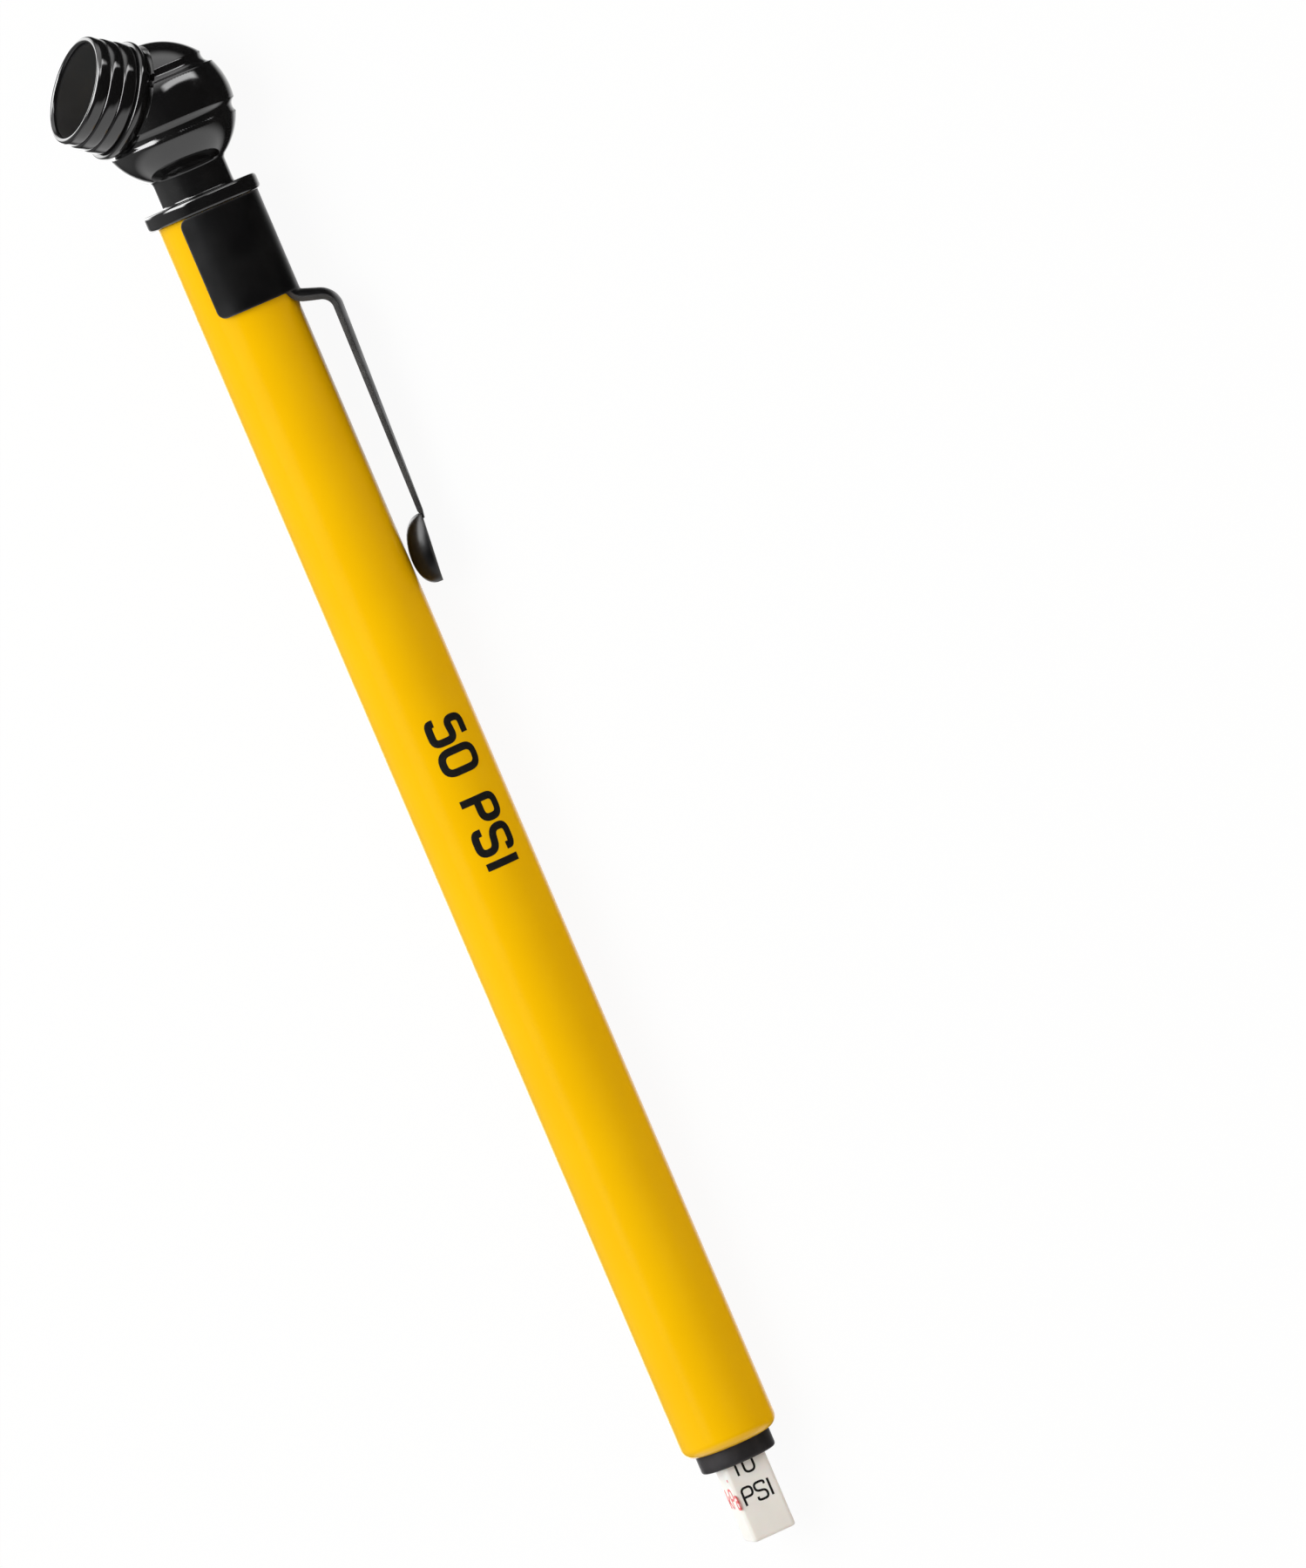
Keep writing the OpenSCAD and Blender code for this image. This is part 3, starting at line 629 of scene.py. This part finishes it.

# %% [markdown]
# The strip is blackened and lacquered satin. Near its edges it is painted pale grey, partly the steel showing
# where the edges rub and partly a painted highlight along the edges.

# %% Black steel
black_steel, tree, shader, place = new_finish("black_steel", IOR=1.32)
wear_and_highlight = shared(tree, edge_wear_and_highlight, place, Near=marked(tree, "edge"), Scale=240.0)
dust = shared(tree, dust_specks, place, Scale=1300.0, Amount=0.02, Size=0.1)
patch = remap(tree, noise(tree, place, 260.0, 3.0), 0.35, 0.7)
tone = mixed(tree, patch, (0.0035, 0.0035, 0.004), (0.007, 0.007, 0.0075))
# Pale grey near every edge: wear and a painted highlight at once.
tone = mixed(tree, product(tree, wear_and_highlight, 0.45), tone, (0.13, 0.13, 0.132))
tone = mixed(tree, product(tree, dust, 0.5), tone, (0.3, 0.3, 0.3))
rough = remap(tree, noise(tree, place, 420.0, 3.0), 0.3, 0.7, 0.29, 0.37)
rough = maths(tree, "ADD", rough, shared(tree, scuffs, place, Scale=300.0, Amount=0.04))
rough = maths(tree, "ADD", rough, product(tree, wear_and_highlight, 0.2))
coat(tree, shader, tone, rough, noise(tree, place, 900.0), 0.000012)

clip_mesh.materials.append(black_steel)
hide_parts("clip_band", "clip_arm")
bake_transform(pocket_clip)

# %% [markdown]
# The bar and its guide are both square and round. One ring of places round the axis serves both,
# crowded at the square's corners so that the small rounds there are smooth.

# %% Round and square rings
PLACES, CROWDING = 160, 0.75
BAR_TURN = math.radians(12.5)

place_angle = lap(PLACES) + CROWDING * np.sin(4 * lap(PLACES)) / 4


def square_reach(half, corner):
    """Distance from the axis to a square with round corners, at each place: flat sides at half / cos(a),
    and in a corner k + sqrt(k^2 - 2 m^2 + corner^2), with m = half - corner and k = m (cos a + sin a)."""
    c, s = np.abs(np.cos(place_angle)), np.abs(np.sin(place_angle))
    flat = half / np.maximum(c, s)
    m = half - corner
    k = m * (c + s)
    bend = k + np.sqrt(np.clip(k * k - 2 * m * m + corner * corner, 0, None))
    return np.where(flat * np.minimum(c, s) > m, bend, flat)


def place_ring(reach, z):
    """One ring of points at height z, turned to the bar's faces."""
    a = place_angle + BAR_TURN
    return np.stack([reach * np.cos(a), reach * np.sin(a), np.full(PLACES, z)], -1)


# %% [markdown]
# The guide is a charcoal moulding rolled into the tail. Its square hole clears the bar by 0.05 mm all round.

# %% End guide
HOLE, BAR_HALF, BAR_CORNER = 2.2, 2.15, 0.35

round_part = [(4.23, 6.0), (4.23, 4.0), (4.23, 1.3), (3.93, 0.66), (3.7, 0.5), (3.7, 0.2), (3.7, -1.2),
              (3.7, -1.45), (3.68, -1.58), (3.62, -1.68), (3.52, -1.74), (3.4, -1.75), (3.2, -1.75)]
square_part = [(2.42, -1.75), (2.32, -1.75), (2.25, -1.72), (2.21, -1.65), (HOLE, -1.55), (HOLE, -1.2),
               (HOLE, 5.7), (HOLE + 0.1, 6.0)]
guide_rings = [place_ring(np.full(PLACES, r), z) for r, z in round_part]
guide_rings += [place_ring(square_reach(half, half - HOLE + BAR_CORNER), z) for half, z in square_part]

grey = mottled("charcoal_plastic", (600.0, 3.0, 0.5, 0.3, 0.7), (linear(34, 33, 35), linear(44, 42, 44)),
               (0.42, 0.55), (5200.0, 0.000014), IOR=1.35)
make_piece("end_guide_moulding", [skin(np.stack(guide_rings), joined=True)],
           "gauge_body", grey, ["end_guide"])

# %% [markdown]
# The bar is white nylon, square with small round corners and a softly broken tip,
# and ends inside the tube in a round head.

# %% Indicator bar
BAR_TIP, BAR_TOP, HEAD_R, HEAD_T = -9.25, 108.45, 3.0, 2.5

tip = [(1.7, 0.0), (1.93, 0.0), (2.02, 0.03), (2.09, 0.09), (2.13, 0.17), (BAR_HALF, 0.28), (BAR_HALF, 0.4),
       (BAR_HALF, 0.9)]
shank = [*np.linspace(BAR_TIP + 3, BAR_TOP - HEAD_T - 0.3, 26), BAR_TOP - HEAD_T - 0.1]
bar_part = [(half, BAR_TIP + rise) for half, rise in tip] + [(BAR_HALF, z) for z in shank]
head_part = [(2.75, 0.0), (2.93, 0.0), (HEAD_R, 0.07), (HEAD_R, 0.3), (HEAD_R, HEAD_T - 0.3),
             (HEAD_R, HEAD_T - 0.07), (2.93, HEAD_T), (2.2, HEAD_T)]
bar_rings = [place_ring(square_reach(half, BAR_CORNER), z) for half, z in bar_part]
bar_rings += [place_ring(np.full(PLACES, r), BAR_TOP - HEAD_T + rise) for r, rise in head_part]

nylon, tree, shader, place = new_finish("white_nylon", IOR=1.33, Subsurface_Weight=0.12,
                                        Subsurface_Scale=0.0012)
cloud = remap(tree, noise(tree, place, 240.0, 3.0), 0.3, 0.7)
colour = mixed(tree, cloud, linear(234, 232, 228), linear(239, 237, 234))
specks = shared(tree, dust_specks, place, Scale=1200.0, Amount=0.04, Size=0.13)
colour = mixed(tree, product(tree, specks, 0.3), colour, linear(120, 116, 110))
marks = shared(tree, scuffs, place, Scale=300.0, Amount=0.15)
rough = maths(tree, "ADD", remap(tree, cloud, 0, 1, 0.34, 0.46), marks)
coat(tree, shader, colour, rough, shared(tree, fine_grain, place, Scale=2600.0), 0.000007)
make_piece("indicator", [skin(np.stack(bar_rings))], "indicator", nylon, ["indicator_bar"])

# %% [markdown]
# Two scales are printed on the bar: psi in black on the front, kilopascals in red on the left.
# The signs are single strokes with round turns. A stroke is a line widened to both sides,
# and it stands 0.012 mm proud, which is a layer of ink.

# %% Strokes and numerals
GLYPHS = {  # each sign's lines of corners, closed where they end as they began, and how round the corners are
    "0": [([(0, 0), (0.6, 0), (0.6, 1), (0, 1), (0, 0)], 0.29)],
    "1": [([(0.12, 0.76), (0.34, 1), (0.34, 0)], 0.04)],
    "2": [([(0, 0.74), (0, 1), (0.6, 1), (0.6, 0.55), (0, 0.02), (0.6, 0.02)], 0.24)],
    "3": [([(0, 0.98), (0.6, 1), (0.6, 0.54), (0.2, 0.52)], 0.24),
          ([(0.2, 0.52), (0.6, 0.52), (0.6, 0), (0, 0), (0, 0.2)], 0.25)],
    "4": [([(0.45, 0), (0.45, 1), (0, 0.3), (0.62, 0.3)], 0.03)],
    "5": [([(0.55, 1), (0.05, 1), (0.02, 0.56), (0.6, 0.62), (0.6, 0), (0, 0), (0, 0.18)], 0.2)],
    "7": [([(0, 1), (0.6, 1), (0.2, 0)], 0.05)],
    "P": [([(0, 0), (0, 1), (0.6, 1), (0.6, 0.47), (0, 0.47)], 0.24)],
    "S": [([(0.6, 0.78), (0.6, 1), (0, 1), (0, 0.54), (0.6, 0.46), (0.6, 0), (0, 0), (0, 0.22)], 0.23)],
    "I": [([(0.08, 0), (0.08, 1)], 0.01)],
    "k": [([(0, 0), (0, 1)], 0.01), ([(0.46, 0.66), (0, 0.26)], 0.01), ([(0.16, 0.38), (0.48, 0)], 0.01)],
    "a": [([(0, 0.56), (0.05, 0.66), (0.46, 0.66), (0.46, 0)], 0.18),
          ([(0.46, 0.38), (0, 0.38), (0, 0), (0.46, 0.02)], 0.17)],
}
SIGN_WIDTH = {"1": 0.46, "I": 0.16, "k": 0.5, "a": 0.46, " ": 0.3}
# The ink's section: share of the half width, and height
INK_SECTION = [(-1, -0.03), (-1, 0.01), (-0.9, 0.012), (-0.45, 0.012), (0, 0.012), (0.45, 0.012),
               (0.9, 0.012), (1, 0.01), (1, -0.03), (0.5, -0.03), (0, -0.03), (-0.5, -0.03)]


def stroke(line, width, closed):
    """A line widened to both sides: its points plus and minus half a width along the normal,
    as a thin closed slab. At a turn the normal is lengthened by 1 / cos of half the turn."""
    if closed:
        before, after = line - np.roll(line, 1, 0), np.roll(line, -1, 0) - line
    else:
        before = np.diff(line, axis=0, prepend=2 * line[:1] - line[1:2])
        after = np.diff(line, axis=0, append=2 * line[-1:] - line[-2:-1])
    before /= np.linalg.norm(before, axis=1)[:, None]
    after /= np.linalg.norm(after, axis=1)[:, None]
    ahead = before + after
    ahead /= np.linalg.norm(ahead, axis=1)[:, None]
    stretch = 1 / np.clip((ahead * after).sum(1), 0.6, 1)
    side = np.stack([-ahead[:, 1], ahead[:, 0]], -1) * stretch[:, None] * width / 2
    share, level = np.array(INK_SECTION).T
    ring = line[:, None] + side[:, None] * share[None, :, None]
    depth = np.broadcast_to(level[None, :, None], (*ring.shape[:2], 1))
    return np.concatenate([ring, depth], -1)


def divided(line, step, closed):
    """The same line with points no further apart than about one step."""
    if closed:
        line = np.concatenate([line, line[:1]])
    along = lengths(line)
    places = np.union1d(along.round(9), np.arange(0, along[-1], step).round(9))
    places = places[np.concatenate([[True], np.diff(places) > 0.02 * step])]
    places = places[:-1] if closed else places
    return np.stack([np.interp(places, along, line[:, 0]), np.interp(places, along, line[:, 1])], -1)


def lettering(text, height, width, gap, at=(0.0, 0.0), step=None):
    """Rings of every stroke in a text, with the signs' height, stroke width and gap in mm.
    A step cuts long strokes up, so that they can follow a curved face."""
    slabs, pen = [], 0.0
    for sign in text:
        for corners, turn in GLYPHS.get(sign, []):
            closed = corners[0] == corners[-1]
            corners = np.array(corners[:-1] if closed else corners) * height
            line = rounded(corners, turn * height, 6, closed) + [pen, 0]
            line = divided(line, step, closed) if step else line
            slabs.append((stroke(line, width, closed), closed))
        pen += SIGN_WIDTH.get(sign, 0.6) * height + gap
    return [(slab + [*at, 0], closed) for slab, closed in slabs]


def on_bar(points, face):
    """A print's (right, up, proud) put on a face of the bar.
    The face is the angle that turns the front to it."""
    right, rise, proud = np.moveaxis(points, -1, 0)
    y = -(BAR_HALF + proud)
    c, s = math.cos(face), math.sin(face)
    return np.stack([right * c - y * s, right * s + y * c, rise], -1)


def tick(right, length, z, width):
    """A short straight line across the bar."""
    return stroke(np.array([[right, z], [right + length, z]]), width, False), False


# %% [markdown]
# The bar moves 1.16 mm for each psi, so that 50 psi fits its stroke of 48 mm.
# The number 10 shows at rest, and the others come out as the pressure pushes.

# %% Printed scales
MM_PER_PSI, TEN_AT, PSI_PER_KPA = 1.16, -2.1, 0.145038
SIGN_H, INK = 1.66, 0.22


def scale_z(psi):
    """Height of a pressure on the bar."""
    return TEN_AT + (psi - 10) * MM_PER_PSI


front = lettering("PSI", SIGN_H, INK, 0.3, at=(-1.46, -5.8))
for psi in range(10, 51, 10):
    front += lettering(str(psi), SIGN_H, INK, 0.52, at=(-1.62, scale_z(psi) - SIGN_H / 2))
for psi in range(12, 51, 2):
    front.append(tick(1.25 if psi % 10 else 1.0, 0.65 if psi % 10 else 0.9, scale_z(psi), 0.16))
left = lettering("kPa", 1.9, 0.26, 0.36, at=(-1.45, -5.85))
left.append(tick(1.3, 0.36, -3.0, 0.26))
for kpa in (100, 150, 200, 250, 300):
    left += lettering(str(kpa), 1.5, 0.27, 0.34, at=(-0.95, scale_z(kpa * PSI_PER_KPA) - 0.75))
for kpa in range(90, 341, 10):
    left.append(tick(-1.95, 0.45 if kpa % 50 else 0.7, scale_z(kpa * PSI_PER_KPA), 0.13))


# Ink is matt and a little thin in places, with a broken skin
THIN, MATT, INK_GRAIN = (2600.0, 3.0, 0.7, 0.55, 0.8), (0.38, 0.6), (6000.0, 0.000004)
black_ink = mottled("black_ink", THIN, ((0.006, 0.006, 0.006), (0.02, 0.02, 0.02)), MATT, INK_GRAIN, IOR=1.4)
red_ink = mottled("red_ink", THIN, ((0.72, 0.012, 0.016), (0.75, 0.05, 0.05)), MATT, INK_GRAIN, IOR=1.4)
for name, slabs, face, ink in (("psi_scale", front, BAR_TURN, black_ink),
                               ("kpa_scale", left, BAR_TURN - math.pi / 2, red_ink)):
    shells = [skin(on_bar(slab, face), joined=closed) for slab, closed in slabs]
    make_piece(name, shells, "indicator", ink)

# %% [markdown]
# The tube's own print says how far the gauge reads, and nothing else.
# Its strokes are wide and black, and lie round the tube. The arc above the front line is height / radius.

# %% Print on the tube
PRINT_TOP, PRINT_H, PRINT_STROKE = 73.1, 3.35, 0.73


def on_tube(points):
    """A print's (along, up, proud) put on the tube.
    Along runs to the tail, up runs round towards the clip."""
    along, rise, proud = np.moveaxis(points, -1, 0)
    a = rise / TUBE_R
    return np.stack([(TUBE_R + proud) * np.sin(a), -(TUBE_R + proud) * np.cos(a), PRINT_TOP - along], -1)


tube_print = lettering("50 PSI", PRINT_H, PRINT_STROKE, 1.0, at=(0.4, 0.15), step=0.2)
shells = [skin(on_tube(slab), joined=closed) for slab, closed in tube_print]
make_piece("tube_print", shells, "gauge_body", black_ink)

# %% [markdown]
# Inside the tube a long spring holds the piston up: a round wire wound on a helix,
# with a closed turn at each end. It is drawn at its rest length; in use it shortens with the piston, towards its
# seat on the guide.

# %% Main spring
COIL_R, WIRE_R, COILS, SPRING_LOW, SPRING_HIGH = 3.65, 0.4, 28, 6.4, 112.08

turns = np.linspace(0, COILS + 2, 40 * (COILS + 2) + 1)
pitch = (SPRING_HIGH - SPRING_LOW - 6 * WIRE_R) / COILS
closed_turns = np.minimum(turns, 1) + np.clip(turns - 1 - COILS, 0, None)
wire_z = (SPRING_LOW + WIRE_R + 2 * WIRE_R * closed_turns + pitch * (turns - closed_turns))[:, None]
wire_reach = COIL_R + WIRE_R * np.cos(lap(10))
coil_angle = (2 * np.pi * turns)[:, None]
spring_rings = np.stack([wire_reach * np.cos(coil_angle), wire_reach * np.sin(coil_angle),
                         wire_z + WIRE_R * np.sin(lap(10))], -1)

steel, tree, shader, place = new_finish("spring_steel", Metallic=1.0, IOR=2.5)
drawn = noise(tree, place, 700.0, 3.0, 0.6)
tone = mixed(tree, remap(tree, drawn, 0.3, 0.7), (0.44, 0.45, 0.47), (0.56, 0.57, 0.59))
marks = shared(tree, scuffs, place, Scale=500.0, Amount=0.15)
rough = maths(tree, "ADD", remap(tree, drawn, 0.3, 0.7, 0.24, 0.36), marks)
coat(tree, shader, tone, rough, shared(tree, fine_grain, place, Scale=3000.0), 0.000004)
spring = make_piece("coil_spring", [skin(spring_rings)], "gauge_body", steel,
                    ["main_spring"], sharp=60)
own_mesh(spring)

# %% [markdown]
# The small parts that are already right in the frame only get their finishes: turned brass
# for the pin and rivet, grey acetal for the piston, rubber for the cup and ring, steel for the rest.

# %% Finishes for the frame's own parts
brass = mottled("brass", (650.0, 4.0, 0.6, 0.35, 0.75), ((0.72, 0.5, 0.2), (0.5, 0.33, 0.13)),
                (0.22, 0.42), (4200.0, 0.000004), Metallic=1.0, IOR=2.0)
acetal = mottled("grey_acetal", (450.0, 3.0, 0.5, 0.3, 0.7), ((0.25, 0.25, 0.26), (0.3, 0.3, 0.31)),
                 (0.35, 0.48), (3600.0, 0.000006), IOR=1.48)
kept = {"head_o_ring": rubber, "piston_cup": rubber, "deflator_pin": brass, "piston_rivet": brass,
        "piston_body": acetal, "cup_washer": steel, "spring_washer": steel, "grip_spring": steel}
for node, finish in kept.items():
    mesh = frame["nodes"][node].data
    mesh.materials.clear()
    mesh.materials.append(finish)
print("kept as they are:", sorted(kept))

# %% [markdown]
# The camera looks at the gauge's side, from a little towards the head,
# with the tube running up and to the left through the frame.

# %% Camera
DISTANCE, FRAME_HEIGHT, FILM = 1.25, 0.1455, 36.0
LEAN, TILT = math.radians(23.11), math.radians(3.3)
FRAME_MIDDLE, GAUGE_MIDDLE = (17.3, 0, 59.3), (0, 0, 65)


def standing(sides, place):
    """The world matrix of an object from its three axes and its place in metres."""
    stand = np.eye(4)
    stand[:3, :3], stand[:3, 3] = np.stack(sides, -1), place
    return Matrix(stand.tolist())


toward = -across * math.cos(TILT) + up * math.sin(TILT)
along_frame = up * math.cos(TILT) + across * math.sin(TILT)
frame_right = out * math.cos(LEAN) - along_frame * math.sin(LEAN)
frame_up = out * math.sin(LEAN) + along_frame * math.cos(LEAN)
camera_data = bpy.data.cameras.new("camera")
camera_data.lens, camera_data.clip_end = FILM * DISTANCE / FRAME_HEIGHT, 20
camera = new_object("camera", camera_data)
camera.matrix_world = standing([frame_right, frame_up, toward], to_row(FRAME_MIDDLE) + DISTANCE * toward)
bpy.context.scene.camera = camera
looking_down = math.degrees(math.asin(toward[2]))
print("lens", round(camera_data.lens, 1), "mm, looking down by", round(looking_down, 1), "degrees")

# %% [markdown]
# The table is matt. What the camera sees of it is drawn nearly white, and it still takes the gauge's shadow.

# %% Table
TABLE, DRAWN_WHITE = 2.5, 0.94

table_mesh = bpy.data.meshes.new("table")
corners = [(x * TABLE, y * TABLE, 0) for x, y in ((-1, -1), (1, -1), (1, 1), (-1, 1))]
table_mesh.from_pydata(corners, [], [(0, 1, 2, 3)])
table = new_object("table", table_mesh)
table.visible_glossy = False
matt = bpy.data.materials.new("table_white")
tree = empty_tree(matt)
seen = add(tree, "LightPath").outputs["Is Camera Ray"]
white = add(tree, "BsdfDiffuse", Color=(0.86, 0.86, 0.86, 1)).outputs[0]
plain = add(tree, "Emission").outputs[0]
both = add(tree, "MixShader", i0=product(tree, seen, DRAWN_WHITE), i1=white, i2=plain)
tree.links.new(both.outputs[0], add(tree, "OutputMaterial").inputs[0])
table_mesh.materials.append(matt)
print("table:", 2 * TABLE, "m wide")

# %% [markdown]
# The light is an even, slightly warm room, a big soft lamp on the left and a weak one on the right.
# What a gloss surface reflects is drawn on the world by direction: the dark of the room round the camera,
# paler paper in the places listed here, and two bright soft boxes above the head.

# %% World
ROOM_GLOSS, ROOM_LIGHT = 0.02, 0.41
SOFT_END, SOFT_SIDE = 0.16, 0.07  # how softly the boxes' edges end

world = bpy.data.worlds.new("studio")
bpy.context.scene.world = world
tree = empty_tree(world)
facing = add(tree, "TexCoord").outputs["Generated"]
studio = np.stack([out, up, toward])


def along_axis(direction):
    """How far a direction in the world points along one axis, from -1 to 1."""
    dot = add(tree, "VectorMath", {"operation": "DOT_PRODUCT"}, i0=facing, i1=direction.tolist())
    return dot.outputs["Value"]


def soft_box(centre, tall, half_long, half_wide):
    """A soft-edged box of light: 1 where the direction's offsets from its centre, along and across it,
    are within its halves. Its centre and its tall side are given as (out, up, towards the camera)."""
    centre = np.array(centre, float) / np.linalg.norm(centre)
    tall = np.array(tall, float) - centre * (centre @ np.array(tall, float))
    tall /= np.linalg.norm(tall)
    ahead, high, aside = (along_axis(v @ studio) for v in (centre, tall, np.cross(centre, tall)))
    in_length = remap(tree, maths(tree, "ABSOLUTE", high), half_long, half_long - SOFT_END)
    in_width = remap(tree, maths(tree, "ABSOLUTE", aside), half_wide, half_wide - SOFT_SIDE)
    return product(tree, in_length, in_width, maths(tree, "GREATER_THAN", ahead, 0))


right_part, up_part, near_part = (along_axis(side) for side in studio)
level_part = maths(tree, "ABSOLUTE", up_part)
papers = [  # how bright each is, and where it begins and is full, by direction
    (1.35, [(up_part, -0.5, -0.72)]),  # beyond the tail
    (0.4, [(right_part, -0.3, -1.0)]),  # on the left
    (1.6, [(up_part, 0.55, 0.8), (near_part, -0.55, -0.15)]),  # overhead
    (1.0, [(near_part, -0.7, -0.95), (level_part, 0.35, 0.15)]),  # behind
    (3.0, [(near_part, -0.82, -0.95), (right_part, -0.02, -0.25)]),  # behind, on the left
    (4.5, [(near_part, -0.4, -0.7), (up_part, 0.1, 0.3), (right_part, -0.1, -0.35)]),  # above that one
]
boxes = [(7.0, (0.64, 0.6, 0.48), (0.62, -0.17, -0.82), 0.56, 0.12),  # right
         (15.0, (-0.6, 0.65, 0.46), (0.62, -0.2, 0.8), 0.45, 0.44)]  # left
gloss_level = ROOM_GLOSS
for strength, places in papers:
    paper = product(tree, strength, *(remap(tree, *limits) for limits in places))
    gloss_level = maths(tree, "MAXIMUM", gloss_level, paper)
for strength, *box in boxes:
    gloss_level = maths(tree, "MAXIMUM", gloss_level, product(tree, strength, soft_box(*box)))
rays = add(tree, "LightPath").outputs
mirror_ray = maths(tree, "MAXIMUM", rays["Is Glossy Ray"], rays["Is Transmission Ray"])
level = add(tree, "Mix", i0=mirror_ray, i2=ROOM_LIGHT, i3=gloss_level).outputs[0]
level = add(tree, "Mix", i0=rays["Is Camera Ray"], i2=level, i3=1.0).outputs[0]
white_ray = maths(tree, "MAXIMUM", mirror_ray, rays["Is Camera Ray"])
tint = mixed(tree, white_ray, (1.0, 0.87, 0.78), (1.0, 1.0, 1.0))
background = add(tree, "Background", Color=tint, Strength=level)
tree.links.new(background.outputs[0], add(tree, "OutputWorld").inputs[0])
print("world:", len(papers), "papers and", len(boxes), "boxes")

# %% Lamps
LAMP_DISTANCE = 0.9


def soft_lamp(name, direction, size, power, colour):
    """A square lamp that looks at the gauge's middle and doesn't show in its gloss."""
    light = bpy.data.lights.new(name, "AREA")
    light.shape, light.size, light.energy, light.color = "SQUARE", size, power, colour
    back = direction @ studio / np.linalg.norm(direction)
    aside = np.cross([0, 0, 1], back)
    aside /= np.linalg.norm(aside)
    lamp = new_object(name, light)
    place = to_row(GAUGE_MIDDLE) + LAMP_DISTANCE * back
    lamp.matrix_world = standing([aside, np.cross(back, aside), back], place)
    lamp.visible_glossy = False
    print(f"{name}: {size} m wide, {power} W")


soft_lamp("left_lamp", (-0.73, 0.25, 0.64), 0.8, 8.15, (0.93, 1.0, 1.0))
soft_lamp("right_lamp", (0.5, -0.2, 0.8), 0.6, 0.7, (1.0, 0.86, 0.7))
bpy.context.scene.view_settings.view_transform = "Standard"
